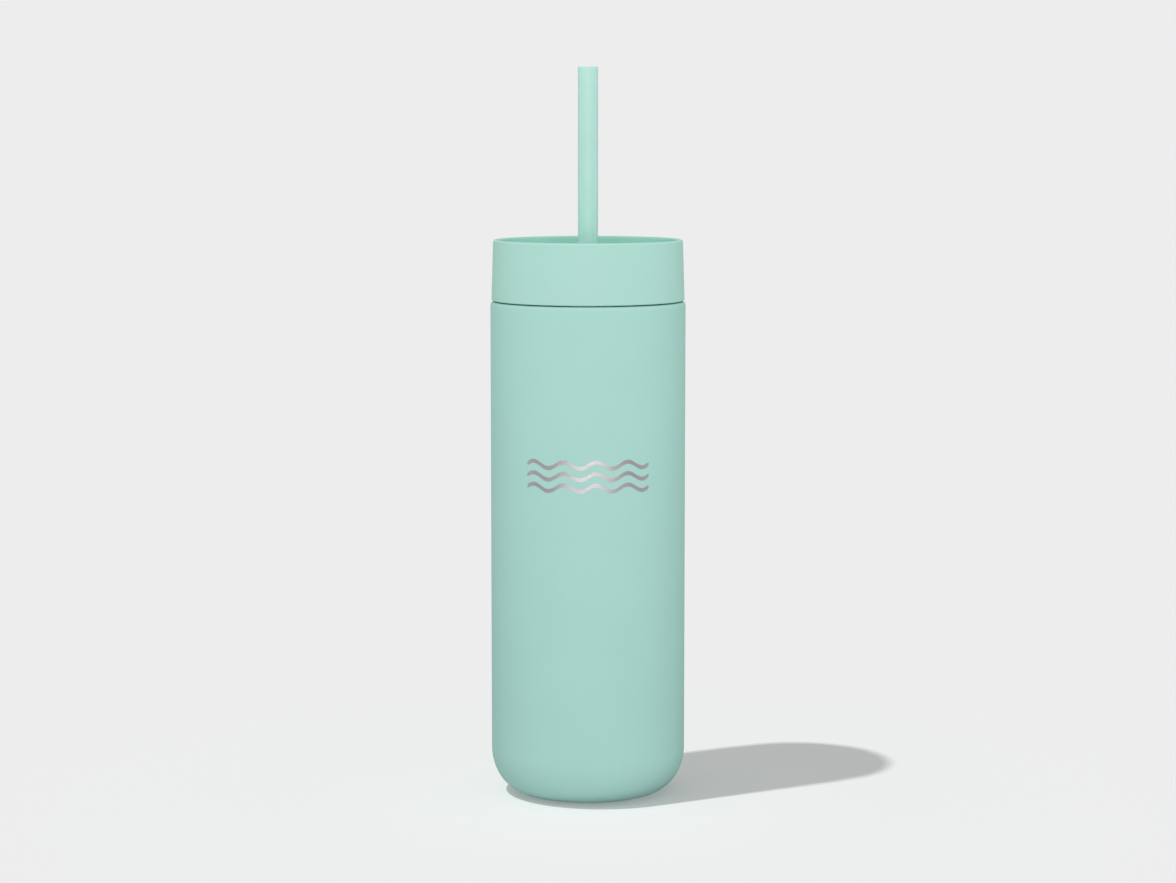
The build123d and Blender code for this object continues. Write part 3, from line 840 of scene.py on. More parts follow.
class TUMBLER_OT_cup_shell(bpy.types.Operator):
    """Outer shell: powder-coated outside, bare steel inside and on its turned-in flange"""

    bl_idname = "tumbler.cup_shell"
    bl_label = "Cup Shell"

    def execute(self, context):
        skin = BODY_RADIUS - MARK_PROUD
        corner_radius = BODY_RADIUS - CORNER_WIDTH
        corner = (corner_radius, SHELL_FOOT + CORNER_HEIGHT)
        bend = corner_radius - FLANGE_BORE
        bend_centre = (corner_radius, SHELL_FOOT + bend)
        inner = BODY_RADIUS - SHEET
        under = SHOULDER - SHEET
        coat_end = (LINER_RADIUS + COAT_MARGIN, SHOULDER)
        edge_round, inner_round = 0.2, 0.25
        coated = joined(
            outline([coat_end, (skin, SHOULDER, SHOULDER_ROUND), (skin, SHOULDER - COLLAR)]),
            climb(skin, SHOULDER - COLLAR, corner[1], COAT_STEP),
            arc(corner, skin - corner_radius, CORNER_HEIGHT, 0, -90),
        )
        bare = joined(
            arc(bend_centre, bend, bend, 270, 180),
            outline([
                (FLANGE_BORE, bend_centre[1]), (FLANGE_BORE, FLANGE_TOP, edge_round),
                (FLANGE_BORE + SHEET, FLANGE_TOP, edge_round), (FLANGE_BORE + SHEET, bend_centre[1]),
            ]),
            arc(bend_centre, bend - SHEET, bend - SHEET, 180, 270),
            arc(corner, CORNER_WIDTH - SHEET, CORNER_HEIGHT - SHEET, -90, 0),
            outline([(inner, corner[1]), (inner, under, inner_round), (LINER_RADIUS, under)]),
            [(LINER_RADIUS, under), (LINER_RADIUS, SHOULDER), coat_end],
        )
        skins = [finish("coat"), finish("bare_steel")]
        shell = lathe("cup_shell", [(coated, 0), (bare, 1)], skins, FINE_TURNS)
        settle(shell, "cup", "powder_coat", "outer_shell")
        return {"FINISHED"}


class TUMBLER_OT_liner(bpy.types.Operator):
    """Inner liner with its rolled lip and the three-start neck thread"""

    bl_idname = "tumbler.liner"
    bl_label = "Liner and Neck"

    def execute(self, context):
        bore = LINER_RADIUS - LINER_SHEET
        floor = LINER_UNDER + LINER_SHEET
        corner = (LINER_RADIUS - LINER_CORNER, LINER_UNDER + LINER_CORNER)
        inner_corner = LINER_CORNER - LINER_SHEET
        floor_ring = 9.0
        lip = LIP_THICK / 2
        lip_centre = (LINER_RADIUS - lip, LIP_TOP - lip)
        taper_foot = NECK_THREAD_TOP - LIP_LEAD
        inside = joined(
            outline([(0, floor), (floor_ring, floor), (corner[0], floor)]),
            arc(corner, inner_corner, inner_corner, -90, 0),
            climb(bore, corner[1], NECK_THREAD_FOOT, COARSE_STEP),
            climb(bore, NECK_THREAD_FOOT, taper_foot, THREAD_STEP),
            [(bore, taper_foot), (lip_centre[0] - lip, lip_centre[1] - LIP_LEAD)],
            arc(lip_centre, lip, lip, 180, 0),
        )
        outside = joined(
            [(LINER_RADIUS, lip_centre[1]), (LINER_RADIUS, NECK_THREAD_TOP)],
            climb(LINER_RADIUS, NECK_THREAD_TOP, NECK_THREAD_FOOT, THREAD_STEP),
            climb(LINER_RADIUS, NECK_THREAD_FOOT, corner[1], COARSE_STEP),
            arc(corner, LINER_CORNER, LINER_CORNER, 0, -90),
            [(corner[0], LINER_UNDER), (0, LINER_UNDER)],
        )

        def rolled(angle, radius, height):
            """Roll the thread outwards, with a shallower groove behind it."""
            if not NECK_THREAD_FOOT <= height <= NECK_THREAD_TOP:
                return radius, height
            ridge = thread_height(angle, height, NECK_START, NECK_RISE, NECK_RIDGE_TALL, 0.0)
            share = 0.0
            if abs(radius - LINER_RADIUS) < TOUCHING:
                share = 1.0
            elif abs(radius - bore) < TOUCHING:
                share = GROOVE_SHARE
            return radius + ridge * share, height

        skins = [finish("liner_steel")]
        liner = lathe("cup_liner", [(inside, 0), (outside, 0)], skins, FINE_TURNS, rolled)
        settle(liner, "cup", "liner_steel", "inner_liner")
        return {"FINISHED"}


class TUMBLER_OT_neck_weld(bpy.types.Operator):
    """Laser weld bead that runs round the neck where the shell meets the liner"""

    bl_idname = "tumbler.neck_weld"
    bl_label = "Neck Weld"

    def execute(self, context):
        centre = (LINER_RADIUS + 0.12, SHOULDER - 0.06)
        half_width, half_height = 0.34, 0.24
        pulses, pulse_tall = 330, 0.035
        bead = arc(centre, half_width, half_height, 200, -160)

        def ripple(angle, radius, height):
            """Overlapping pulses of the laser."""
            return radius, height + pulse_tall * math.sin(angle * pulses / 2) * (height > SHOULDER)

        weld = lathe("neck_weld", [(bead, 0)], [finish("bare_steel")], FINE_TURNS * 2, ripple)
        settle(weld, "cup", "liner_steel")
        return {"FINISHED"}


class TUMBLER_OT_foil(bpy.types.Operator):
    """Crinkled copper foil wrapped round the liner, with one edge lapped over the other"""

    bl_idname = "tumbler.foil"
    bl_label = "Copper Foil"

    def execute(self, context):
        laps, lap_start = 1.04, 0.96    # turns round the liner, and where one edge climbs the other
        lap_rise = 0.16
        slack = 0.12                    # the smooth foil stands this far inside its full radius
        crease_deep, fine_share = 0.45, 0.5
        crease_count, crease_pitch, finer = 3.2, 0.11, 2.7
        across, along = 320, 96
        vertices, faces = [], []
        for side in (0.0, FOIL_SHEET):
            for row in range(along + 1):
                height = FOIL_FOOT + (FOIL_TOP - FOIL_FOOT) * row / along
                for column in range(across + 1):
                    turned = laps * column / across
                    angle = TAU * turned + math.pi / 2
                    turn = (math.cos(angle) * crease_count, math.sin(angle) * crease_count)
                    spot = Vector((*turn, height * crease_pitch))
                    crease = abs(noise.noise(spot)) + fine_share * abs(noise.noise(spot * finer))
                    rise = lap_rise * max(0.0, min(1.0, (turned - lap_start) / (1 - lap_start)))
                    radius = FOIL_RADIUS - slack + crease_deep * crease * (turned < lap_start) + rise + side
                    vertices.append(on_circle(radius, angle, height))
        width = across + 1
        layer = width * (along + 1)
        for row in range(along):
            for column in range(across):
                a = row * width + column
                faces.append((a, a + 1, a + 1 + width, a + width))
                faces.append((layer + a, layer + a + width, layer + a + 1 + width, layer + a + 1))
        rims = [(row * width + column, 1) for row in (0, along) for column in range(across)]
        rims += [(row * width + column, width) for column in (0, across) for row in range(along)]
        faces += [(a, layer + a, layer + a + step, a + step) for a, step in rims]
        foil = finish_mesh("copper_foil", vertices, faces, [finish("copper")])
        settle(foil, "cup", "copper_foil", "radiation_foil")
        return {"FINISHED"}


class TUMBLER_OT_base_plate(bpy.types.Operator):
    """Welded base plate with the dimple of the evacuation port"""

    bl_idname = "tumbler.base_plate"
    bl_label = "Base Plate"

    def execute(self, context):
        ledge = PLATE_TOP - SHEET
        top = PLATE_UNDER + SHEET
        dimple, dimple_edge = 3.5, 4.5
        draw = 0.3                      # the dimple is this much wider above the sheet
        outer_bend, inner_bend, foot_bend = 0.5, 0.35, 0.8
        section = outline([
            (PORT_RADIUS, ledge), (dimple, ledge, inner_bend), (dimple_edge, PLATE_UNDER, outer_bend),
            (PLATE_RADIUS, PLATE_UNDER), (PLATE_RADIUS, top), (dimple_edge + draw, top, foot_bend),
            (dimple + draw, PLATE_TOP, outer_bend), (PORT_RADIUS, PLATE_TOP),
        ], closed=True)
        plate = lathe("base_plate", [(section, 0)], [finish("spun_steel")])
        settle(plate, "cup", "base_steel", "base_plate")
        return {"FINISHED"}


class TUMBLER_OT_port_bead(bpy.types.Operator):
    """Solder-glass bead that seals the port"""

    bl_idname = "tumbler.port_bead"
    bl_label = "Port Bead"

    def execute(self, context):
        seat = PLATE_TOP - SHEET
        top_round = 0.15
        drop = arc((0, seat), BEAD_RADIUS, seat - BEAD_UNDER, -90, 0)
        plug = outline([
            (BEAD_RADIUS, seat), (PORT_RADIUS, seat), (PORT_RADIUS, BEAD_TOP, top_round), (0, BEAD_TOP),
        ])
        bead = lathe("port_bead", [(drop, 0), (plug, 0)], [finish("glass")], BEAD_TURNS)
        settle(bead, "cup", "solder_glass", "port_bead")
        return {"FINISHED"}


class TUMBLER_OT_getter(bpy.types.Operator):
    """Getter pill and the bent strap that holds it to the base plate"""

    bl_idname = "tumbler.getter"
    bl_label = "Getter and Strap"

    def execute(self, context):
        low, high = (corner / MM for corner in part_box("getter_pill"))
        radius = (high.x - low.x) / 2
        centre = (high.x + low.x) / 2
        foot_round, top_round = 0.1, 0.35
        side = outline([(0, low.z), (radius, low.z, foot_round), (radius, high.z, top_round), (0, high.z)])
        pill = lathe("getter_pill", [(side, 0)], [finish("getter")], SMALL_TURNS)
        pill.data.transform(Matrix.Translation((centre * MM, 0, 0)))
        settle(pill, "cup", "getter", "getter_pill")

        foot, top = (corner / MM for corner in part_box("getter_strap"))
        inner_bend, outer_bend = 0.2, 0.5
        half = (top.y - foot.y) / 2
        inner = (centre - radius, centre + radius)
        outer = (inner[0] - STRAP_SHEET, inner[1] + STRAP_SHEET)
        ear, ceiling = foot.z + STRAP_SHEET, top.z - STRAP_SHEET
        edge = outline([
            (foot.x, ear), (outer[0], ear, inner_bend), (outer[0], top.z, outer_bend),
            (outer[1], top.z, outer_bend), (outer[1], ear, inner_bend), (top.x, ear),
        ]) + outline([
            (top.x, foot.z), (inner[1], foot.z, outer_bend), (inner[1], ceiling, inner_bend),
            (inner[0], ceiling, inner_bend), (inner[0], foot.z, outer_bend), (foot.x, foot.z),
        ])
        vertices = [(x * MM, y * MM, z * MM) for y in (-half, half) for x, z in edge]
        count = len(edge)
        faces = [tuple(range(count)), tuple(range(2 * count - 1, count - 1, -1))]
        faces += [(n, (n + 1) % count, (n + 1) % count + count, n + count) for n in range(count)]
        strap = finish_mesh("getter_strap", vertices, faces, [finish("bare_steel")])
        settle(strap, "cup", "base_steel", "getter_strap")
        return {"FINISHED"}


class TUMBLER_OT_base_cover(bpy.types.Operator):
    """Spun steel cover under the cup, with a channel for the foot ring"""

    bl_idname = "tumbler.base_cover"
    bl_label = "Base Cover"

    def execute(self, context):
        ring_room = 0.2                 # between the channel's walls and the foot ring
        centre = FOOT_BORE - ring_room
        wall = FOOT_RADIUS + ring_room
        channel = COVER_TOP - COVER_SHEET
        hem = COVER_UNDER + 0.2
        well = (centre - COVER_SHEET, COVER_UNDER + COVER_SHEET)
        floor_ring = 2.0
        foot_bend, channel_bend, hem_round, top_bend, well_bend = 0.4, 0.15, 0.12, 0.3, 0.2
        section = outline([
            (0, COVER_UNDER), (floor_ring, COVER_UNDER), (centre, COVER_UNDER, foot_bend),
            (centre, channel, channel_bend), (wall, channel, channel_bend), (wall, hem, hem_round),
            (COVER_RADIUS, hem, hem_round), (COVER_RADIUS, COVER_TOP, top_bend),
            (well[0], COVER_TOP, top_bend), (*well, well_bend), (0, well[1]),
        ])
        cover = lathe("base_cover", [(section, 0)], [finish("spun_steel")])
        settle(cover, "cup", "base_steel", "base_cover")
        return {"FINISHED"}


class TUMBLER_OT_foot_ring(bpy.types.Operator):
    """Soft foot ring with two grip grooves"""

    bl_idname = "tumbler.foot_ring"
    bl_label = "Foot Ring"

    def execute(self, context):
        half, deep = 0.35, 0.4          # of a groove
        foot_round, groove_edge, groove_corner, top_edge = 0.35, 0.12, 0.1, 0.1
        groove_top = FOOT_UNDER + deep
        corners = [(FOOT_BORE, FOOT_TOP, top_edge), (FOOT_BORE, FOOT_UNDER, foot_round)]
        for n in range(1, FOOT_GROOVES + 1):
            middle = FOOT_BORE + (FOOT_RADIUS - FOOT_BORE) * n / (FOOT_GROOVES + 1)
            corners += [
                (middle - half, FOOT_UNDER, groove_edge), (middle - half, groove_top, groove_corner),
                (middle + half, groove_top, groove_corner), (middle + half, FOOT_UNDER, groove_edge),
            ]
        corners += [(FOOT_RADIUS, FOOT_UNDER, foot_round), (FOOT_RADIUS, FOOT_TOP, top_edge)]
        ring = lathe("foot_ring", [(outline(corners, closed=True), 0)], [finish("foot_silicone")])
        settle(ring, "cup", "foot_silicone", "foot_ring")
        return {"FINISHED"}


class TUMBLER_OT_ripple_mark(bpy.types.Operator):
    """Etched ripples on the front of the cup"""

    bl_idname = "tumbler.ripple_mark"
    bl_label = "Ripple Mark"

    def execute(self, context):
        mark = context.scene.tumbler_mark
        half = mark.thickness / MM / 2
        length = mark.width / MM
        swing = mark.spacing / MM * SWING_SHARE
        tip = 0.02                      # half of a line's width at its very end
        sunk = BODY_RADIUS - 3 * MARK_PROUD
        edges = ((BODY_RADIUS, 1), (BODY_RADIUS, -1), (sunk, -1), (sunk, 1))
        steps, sides = 160, len(edges)
        vertices, faces = [], []
        for line in range(mark.lines):
            middle = mark.height / MM + (line - (mark.lines - 1) / 2) * mark.spacing / MM
            first = len(vertices)
            for n in range(steps + 1):
                along = (n / steps - 0.5) * length
                to_end = min(1.0, (length / 2 - abs(along)) / half)
                wide = max(tip, half * math.sqrt(max(0.0, 1 - (1 - to_end) ** 2)))
                height = middle + swing * math.sin(TAU * mark.waves * along / length)
                angle = along / BODY_RADIUS - math.pi / 2
                vertices += [on_circle(radius, angle, height + side * wide) for radius, side in edges]
            for n in range(steps):
                a, b = first + sides * n, first + sides * (n + 1)
                faces += [(a + k, a + (k + 1) % sides, b + (k + 1) % sides, b + k) for k in range(sides)]
            faces.append(tuple(first + k for k in reversed(range(sides))))
            faces.append(tuple(first + sides * steps + k for k in range(sides)))
        ripples = finish_mesh("ripple_mark", vertices, faces, [finish("etched")])
        settle(ripples, "cup", "base_steel")
        return {"FINISHED"}


# ---------------------------------------------------------------- lid

class TUMBLER_OT_lid_shell(bpy.types.Operator):
    """Lid shell: drafted skirt, splash wall and sunken deck with its vent"""

    bl_idname = "tumbler.lid_shell"
    bl_label = "Lid Shell"

    def execute(self, context):
        inner_edge = RIM_RADIUS - RIM_WALL
        coat_end = (inner_edge + RIM_COAT, RIM_TOP)
        wall_foot = (WALL_FOOT_RADIUS, DECK_TOP + DECK_DISH)
        ceiling_round, hem_round, foot_round, rim_round = 0.3, 0.2, 0.5, 0.8
        rim_inner_round, deck_round, hole_round = 1.0, 1.0, 0.2
        outside = outline([
            (GROMMET_HOLE, DECK_UNDER), (SKIRT_BORE, DECK_UNDER, ceiling_round),
            (SKIRT_BORE, SKIRT_FOOT, hem_round), (SKIRT_RADIUS, SKIRT_FOOT, foot_round),
            (RIM_RADIUS, RIM_TOP, rim_round), coat_end,
        ])
        # The recess, from the rim down the splash wall and over the deck, gets the darker plastic, which
        # paints the shade in the recess.
        recess = outline([
            coat_end, (inner_edge, RIM_TOP, rim_inner_round), (*wall_foot, WALL_FOOT_ROUND),
            (DECK_FLAT, DECK_TOP, deck_round), (GROMMET_HOLE, DECK_TOP, hole_round),
            (GROMMET_HOLE, DECK_UNDER),
        ])
        skins = [finish("lid_coat"), finish("lid_plastic")]
        lid = lathe("lid_shell", [(outside, 0), (recess, 1)], skins, FINE_TURNS)
        socket_radius, socket_top = PIN_RADIUS + 0.1, DECK_UNDER + 0.9
        holes = [rod(socket_radius, DECK_UNDER - PAST, socket_top, *pin_place(n)) for n in range(PINS)]
        vent = rod(VENT_RADIUS, DECK_UNDER - PAST, DECK_TOP + 2 * PAST, VENT_AT)
        carve(lid, holes + [vent], "DIFFERENCE")
        settle(lid, "lid", "lid_plastic", "lid_shell")
        return {"FINISHED"}


class TUMBLER_OT_lid_insert(bpy.types.Operator):
    """Threaded insert with plug wall, ribs, boss and locating pins"""

    bl_idname = "tumbler.lid_insert"
    bl_label = "Lid Insert"

    def execute(self, context):
        phase = (LID_START - NECK_START + LID_BELOW_NECK) / LEAD * TAU
        plug_bore = PLUG_RADIUS - PLUG_WALL
        lead_in = (INSERT_BORE + 0.3, INSERT_FOOT)
        catch = PLUG_RADIUS + 0.2       # a low ring under the gasket, which keeps it on the plug
        step = 0.3                      # the catch slopes out, runs level and slopes back over one each
        edge, sharp_edge, plug_edge, inner_corner = 0.2, 0.15, 0.35, 0.5
        inside = joined(
            outline([
                (GROMMET_HOLE, BOSS_FOOT), (BOSS_RADIUS, BOSS_FOOT, edge),
                (BOSS_RADIUS, INSERT_UNDER, inner_corner), (plug_bore, INSERT_UNDER, inner_corner),
                (plug_bore, PLUG_FOOT, edge), (PLUG_RADIUS, PLUG_FOOT, plug_edge),
                (PLUG_RADIUS, LIP_TOP - 4 * step), (catch, LIP_TOP - 3 * step),
                (catch, LIP_TOP - 2 * step), (PLUG_RADIUS, LIP_TOP - step),
                (PLUG_RADIUS, INSERT_UNDER), (INSERT_BORE, INSERT_UNDER), (INSERT_BORE, LID_THREAD_TOP),
            ]),
            climb(INSERT_BORE, LID_THREAD_TOP, LID_THREAD_FOOT, THREAD_STEP),
            [(INSERT_BORE, LID_THREAD_FOOT), lead_in],
        )
        outside = outline([
            lead_in, (INSERT_RADIUS, INSERT_FOOT, sharp_edge), (INSERT_RADIUS, INSERT_TOP, edge),
            (GROMMET_HOLE, INSERT_TOP), (GROMMET_HOLE, BOSS_FOOT),
        ])

        def threaded(angle, radius, height):
            """Stand the thread inwards from the bore."""
            on_bore = abs(radius - INSERT_BORE) < TOUCHING and LID_THREAD_FOOT <= height <= LID_THREAD_TOP
            if on_bore:
                radius -= thread_height(angle, height, LID_START, LID_RISE, LID_RIDGE_TALL, phase)
            return radius, height

        skins = [finish("insert_plastic")]
        insert = lathe("lid_insert", [(inside, 0), (outside, 0)], skins, FINE_TURNS, threaded)
        rib_tall, rib_thick, rooted = 2.5, 1.2, 0.4
        rib_long = plug_bore - BOSS_RADIUS + PAST
        rib_centre = ((BOSS_RADIUS + plug_bore) / 2, 0, INSERT_UNDER - rib_tall / 2 + rooted / 2)
        turns = [TAU * n / RIBS + TAU / RIBS / 2 for n in range(RIBS)]
        ribs = [bar(rib_long, rib_thick, rib_tall + rooted, rib_centre, turn) for turn in turns]
        pins = [rod(PIN_RADIUS, INSERT_TOP - rooted, PIN_TOP, *pin_place(n)) for n in range(PINS)]
        carve(insert, ribs + pins, "UNION")
        vent = rod(VENT_RADIUS, INSERT_UNDER - PAST, INSERT_TOP + PAST, VENT_AT)
        carve(insert, [vent], "DIFFERENCE")
        settle(insert, "lid", "insert_plastic", "lid_insert")
        return {"FINISHED"}


class TUMBLER_OT_gasket(bpy.types.Operator):
    """Flat silicone gasket with two sealing ribs"""

    bl_idname = "tumbler.gasket"
    bl_label = "Lid Gasket"

    def execute(self, context):
        inner = PLUG_RADIUS + 0.1
        rib = 0.25                      # a rib's height, and half of its width
        crest = rib * 0.6
        flat = GASKET_FOOT + rib
        edge, root_round, crest_round = 0.3, 0.05, 0.14
        corners = [(inner, GASKET_TOP, edge), (inner, flat, edge)]
        for share in (0.22, 0.78):
            middle = inner + share * (GASKET_RADIUS - inner)
            corners += [
                (middle - rib, flat, root_round), (middle - crest, GASKET_FOOT, crest_round),
                (middle + crest, GASKET_FOOT, crest_round), (middle + rib, flat, root_round),
            ]
        corners += [(GASKET_RADIUS, flat, edge), (GASKET_RADIUS, GASKET_TOP, edge)]
        gasket = lathe("lid_gasket", [(outline(corners, closed=True), 0)], [finish("clear_silicone")])
        settle(gasket, "gasket", "clear_silicone", "lid_gasket")
        return {"FINISHED"}


class TUMBLER_OT_grommet(bpy.types.Operator):
    """Soft grommet that grips the straw with two lips"""

    bl_idname = "tumbler.grommet"
    bl_label = "Straw Grommet"

    def execute(self, context):
        lip = STRAW_RADIUS + 0.04
        relief = STRAW_RADIUS + 0.4
        neck = GROMMET_HOLE - 0.05
        lower, shelf = 6.2, BOSS_FOOT - 0.05
        seat = DECK_TOP + 0.02
        soft, bulge, relief_round, flange_foot = 0.2, 0.35, 0.3, 0.1
        section = outline([
            (lip, GROMMET_FOOT, soft), (lower, GROMMET_FOOT, bulge), (lower, shelf, soft), (neck, shelf),
            (neck, seat), (GROMMET_RADIUS, seat, flange_foot), (GROMMET_RADIUS - 0.5, GROMMET_TOP, bulge),
            (lip + 0.5, GROMMET_TOP, soft), (lip, GROMMET_TOP - 0.4, soft), (lip, GROMMET_TOP - 0.9, soft),
            (relief, GROMMET_TOP - 1.5, relief_round), (relief, GROMMET_FOOT + 1.4, relief_round),
            (lip, GROMMET_FOOT + 0.8, soft),
        ], closed=True)
        grommet = lathe("straw_grommet", [(section, 0)], [finish("mint_silicone")], SLIM_TURNS)
        settle(grommet, "lid", "grommet_silicone", "straw_grommet")
        return {"FINISHED"}


# ---------------------------------------------------------------- straw

class TUMBLER_OT_straw(bpy.types.Operator):
    """Straw tube with a rounded mouth end and a notched foot"""

    bl_idname = "tumbler.straw"
    bl_label = "Straw"

    def execute(self, context):
        notch_end = STRAW_FOOT + NOTCH_TALL + 1.0
        mouth_foot = STRAW_TOP - MOUTH_DEEP
        foot_round, mouth_round, step_root, step_edge = 0.12, 0.2, 0.15, 0.1
        wall = outline([
            (STRAW_BORE, notch_end), (STRAW_BORE, STRAW_FOOT, foot_round),
            (STRAW_RADIUS, STRAW_FOOT, foot_round), (STRAW_RADIUS, notch_end),
        ])
        shaft = joined(
            climb(STRAW_RADIUS, notch_end, STRAW_TOP - 1, COARSE_STEP),
            outline([
                (STRAW_RADIUS, STRAW_TOP - 1), (STRAW_RADIUS, STRAW_TOP, mouth_round),
                (MOUTH_BORE, STRAW_TOP, mouth_round), (MOUTH_BORE, mouth_foot, step_root),
                (STRAW_BORE, mouth_foot, step_edge), (STRAW_BORE, mouth_foot - 1),
            ]),
            climb(STRAW_BORE, mouth_foot - 1, notch_end, COARSE_STEP),
        )

        def notched(angle, radius, height):
            """Lift the foot's edge into two V notches, front and back."""
            if height >= notch_end - TOUCHING:
                return radius, height
            away = abs(radius * math.cos(angle)) / (NOTCH_WIDTH / 2)
            lift = NOTCH_TALL * max(0.0, 1 - away)
            share = (notch_end - height) / (notch_end - STRAW_FOOT)
            return radius, height + lift * share

        straw = lathe("straw_tube", [(wall, 0), (shaft, 0)], [finish("straw")], SLIM_TURNS, notched)
        settle(straw, "straw", "straw_plastic", "straw_tube")
        return {"FINISHED"}


class TUMBLER_OT_stopper(bpy.types.Operator):
    """Stopper ring that keeps the straw from being pulled out through the lid"""

    bl_idname = "tumbler.stopper"
    bl_label = "Stopper Ring"

    def execute(self, context):
        bore = STRAW_RADIUS + 0.01
        bevel = 1.0
        foot_round, bevel_round, top_round = 0.2, 0.4, 0.5
        section = outline([
            (bore, STOPPER_TOP), (bore, STOPPER_FOOT), (STOPPER_RADIUS - bevel, STOPPER_FOOT, foot_round),
            (STOPPER_RADIUS, STOPPER_FOOT + bevel, bevel_round), (STOPPER_RADIUS, STOPPER_TOP, top_round),
        ], closed=True)
        stopper = lathe("straw_stopper", [(section, 0)], [finish("straw")], SMALL_TURNS)
        settle(stopper, "straw", "straw_plastic", "straw_stopper")
        return {"FINISHED"}


# ---------------------------------------------------------------- stage

class TUMBLER_OT_stage(bpy.types.Operator):
    """Seamless pale floor, key light, soft front light and camera"""

    bl_idname = "tumbler.stage"
    bl_label = "Stage"

    def execute(self, context):
        scene = context.scene
        stage = scene.tumbler_stage
        scene.view_settings.view_transform = "Standard"
        floor = self.add_floor(stage)
        self.add_lights(scene, stage, floor)
        self.add_camera(scene)
        return {"FINISHED"}

    def add_floor(self, stage):
        """A floor too wide to show its edge, which throws less light back up than the camera sees on it."""
        half_width, below = 30.0, 0.02 * MM
        work = bmesh.new()
        bmesh.ops.create_grid(work, x_segments=8, y_segments=8, size=half_width)
        floor = loose(work)
        floor.name = floor.data.name = "floor"
        floor.location.z = -below
        material, tree = blank("Pale Floor")
        split_by_camera(
            tree, "ShaderNodeBsdfDiffuse", stage.floor_albedo, stage.floor_bounce, "ShaderNodeOutputMaterial"
        )
        floor.data.materials.append(material)
        return floor

    def add_lights(self, scene, stage, floor):
        """Even light on the floor, and soft boxes that light the tumbler alone."""
        wanted = stage.floor_shade / stage.floor_albedo
        floor_only = self.receivers("floor_only", floor, "INCLUDE")
        not_floor = self.receivers("all_but_floor", floor, "EXCLUDE")
        key = self.add_sun("key_light", stage.key_azimuth, stage.key_elevation, floor_only)
        key.angle = KEY_WIDTH
        key.energy = wanted * stage.key_share * math.pi / math.sin(stage.key_elevation)
        wash = self.add_sun("floor_wash", 0.0, math.pi / 2, floor_only)
        wash.use_shadow = False
        wash.energy = wanted * (1 - stage.key_share - stage.dome_share) * math.pi
        for name, azimuth, elevation, distance, strength, tint in (
            ("front_box", -90, 16, 0.9, stage.front_box, WHITE),
            ("left_box", 180, 20, 0.37, stage.side_box, stage.side_tint),
            ("right_box", 0, 20, 0.37, stage.side_box, stage.side_tint),
            ("back_box", 90, 30, 0.8, stage.back_box, WHITE),
            ("top_box", -90, 84, 1.0, stage.top_box, WHITE),
        ):
            aim = (math.radians(azimuth), math.radians(elevation))
            box = self.add_box(name, *aim, distance, strength, not_floor)
            box.color = tint
        world = bpy.data.worlds.new("Studio")
        world.use_nodes = True
        scene.world = world
        split_by_camera(
            world.node_tree, "ShaderNodeBackground", stage.floor_shade, wanted * stage.dome_share,
            "ShaderNodeOutputWorld",
        )

    def receivers(self, name, floor, state):
        """A set of lit objects: the floor alone, or everything but the floor."""
        chosen = bpy.data.collections.new(name)
        chosen.objects.link(floor)
        chosen.collection_objects[0].light_linking.link_state = state
        return chosen

    def add_sun(self, name, azimuth, elevation, lit):
        """A distant light whose rays head along an azimuth and down by an elevation."""
        sun = bpy.data.lights.new(name, "SUN")
        lamp = self.place_lamp(name, sun, azimuth, elevation, -1.0)
        lamp.light_linking.receiver_collection = lit
        return sun

    def add_box(self, name, azimuth, elevation, distance, strength, lit):
        """A square soft box at an azimuth and elevation from the tumbler's middle, facing it."""
        box = bpy.data.lights.new(name, "AREA")
        box.size = distance * BOX_SHARE
        box.energy = strength * (math.pi * distance) ** 2
        lamp = self.place_lamp(name, box, azimuth + math.pi, elevation, -distance)
        lamp.visible_camera = False
        lamp.light_linking.receiver_collection = lit
        return box

    def place_lamp(self, name, light, azimuth, elevation, back):
        """Point a lamp at the tumbler's middle along a heading, from a distance back along it."""
        lamp = bpy.data.objects.new(name, light)
        level = math.cos(elevation)
        heading = Vector((math.cos(azimuth) * level, math.sin(azimuth) * level, -math.sin(elevation)))
        middle = (CAD_BOX[0] + CAD_BOX[1]) / 2
        lamp.rotation_euler = heading.to_track_quat("-Z", "Y").to_euler()
        lamp.location = middle + heading * back
        bpy.context.scene.collection.objects.link(lamp)
        return lamp

    def add_camera(self, scene):
        """A long lens a little above the lid, looking slightly down."""
        camera = bpy.data.cameras.new("camera")
        camera.lens = CAMERA_LENS
        camera.clip_end = CAMERA_REACH
        view = bpy.data.objects.new("camera", camera)
        view.location = CAMERA_PLACE
        view.rotation_euler = Euler((math.pi / 2 - CAMERA_DOWN, 0.0, 0.0))
        scene.collection.objects.link(view)
        scene.camera = view


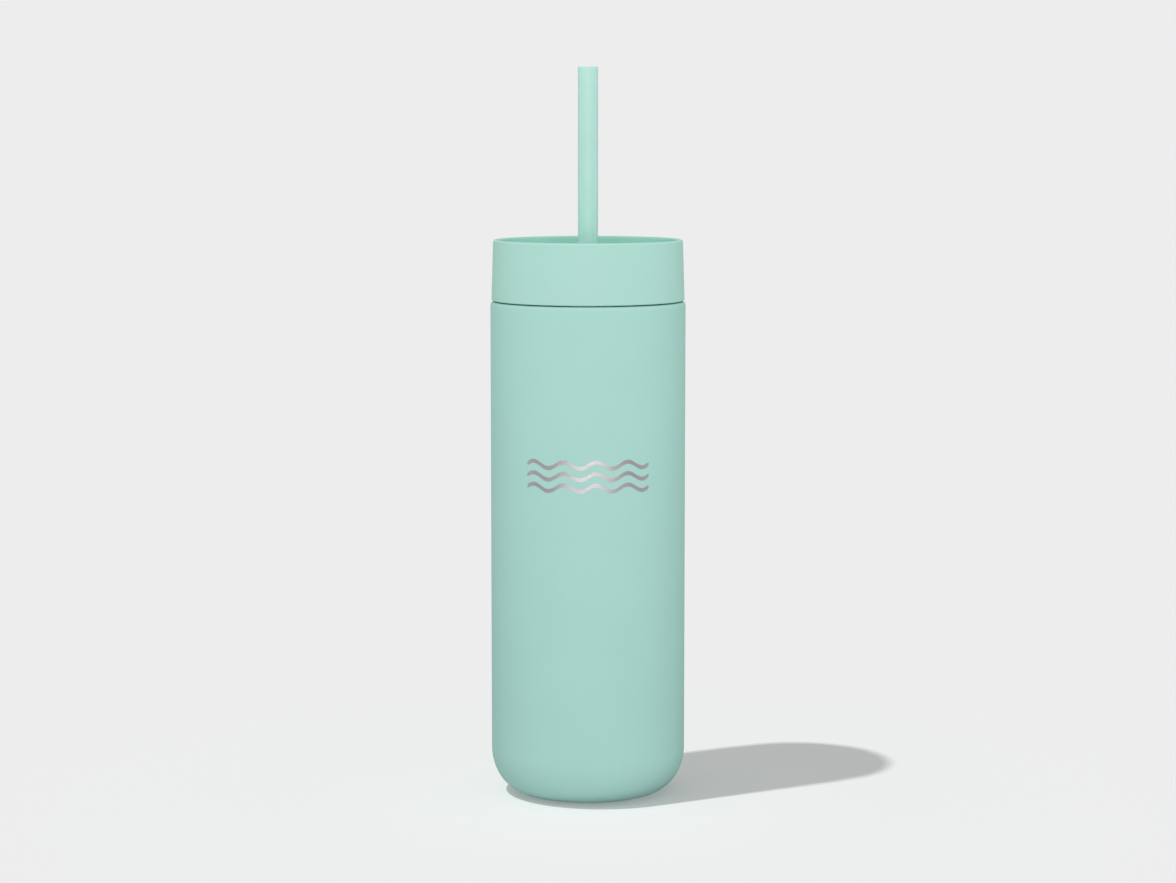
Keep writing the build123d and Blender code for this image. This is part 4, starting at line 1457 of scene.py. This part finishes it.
class TUMBLER_PT_panel(bpy.types.Panel):
    """Settings and steps of the tumbler"""

    bl_idname = "TUMBLER_PT_panel"
    bl_label = "Tumbler"
    bl_space_type = "VIEW_3D"
    bl_region_type = "UI"
    bl_category = "Tumbler"

    def draw(self, context):
        for label, settings in (
            ("Looks", context.scene.tumbler_looks),
            ("Mark", context.scene.tumbler_mark),
            ("Stage", context.scene.tumbler_stage),
        ):
            box = self.layout.box()
            box.label(text=label)
            for name in settings.bl_rna.properties.keys():
                if name not in ("rna_type", "name"):
                    box.prop(settings, name)
        steps = self.layout.column(align=True)
        for step in STEPS:
            steps.operator(step.bl_idname)


GROUPS = {"tumbler_looks": TumblerLooks, "tumbler_mark": TumblerMark, "tumbler_stage": TumblerStage}
STEPS = (
    TUMBLER_OT_stage,
    TUMBLER_OT_cup_shell,
    TUMBLER_OT_liner,
    TUMBLER_OT_neck_weld,
    TUMBLER_OT_foil,
    TUMBLER_OT_base_plate,
    TUMBLER_OT_port_bead,
    TUMBLER_OT_getter,
    TUMBLER_OT_base_cover,
    TUMBLER_OT_foot_ring,
    TUMBLER_OT_ripple_mark,
    TUMBLER_OT_lid_shell,
    TUMBLER_OT_lid_insert,
    TUMBLER_OT_gasket,
    TUMBLER_OT_grommet,
    TUMBLER_OT_straw,
    TUMBLER_OT_stopper,
)


def register():
    for group in GROUPS.values():
        bpy.utils.register_class(group)
    for step in STEPS:
        bpy.utils.register_class(step)
    bpy.utils.register_class(TUMBLER_PT_panel)
    for name, group in GROUPS.items():
        setattr(bpy.types.Scene, name, PointerProperty(type=group))


def unregister():
    for name in GROUPS:
        delattr(bpy.types.Scene, name)
    bpy.utils.unregister_class(TUMBLER_PT_panel)
    for step in reversed(STEPS):
        bpy.utils.unregister_class(step)
    for group in reversed(GROUPS.values()):
        bpy.utils.unregister_class(group)


def main():
    register()
    for step in STEPS:
        family, name = step.bl_idname.split(".")
        getattr(getattr(bpy.ops, family), name)()


if __name__ == "__main__":
    main()
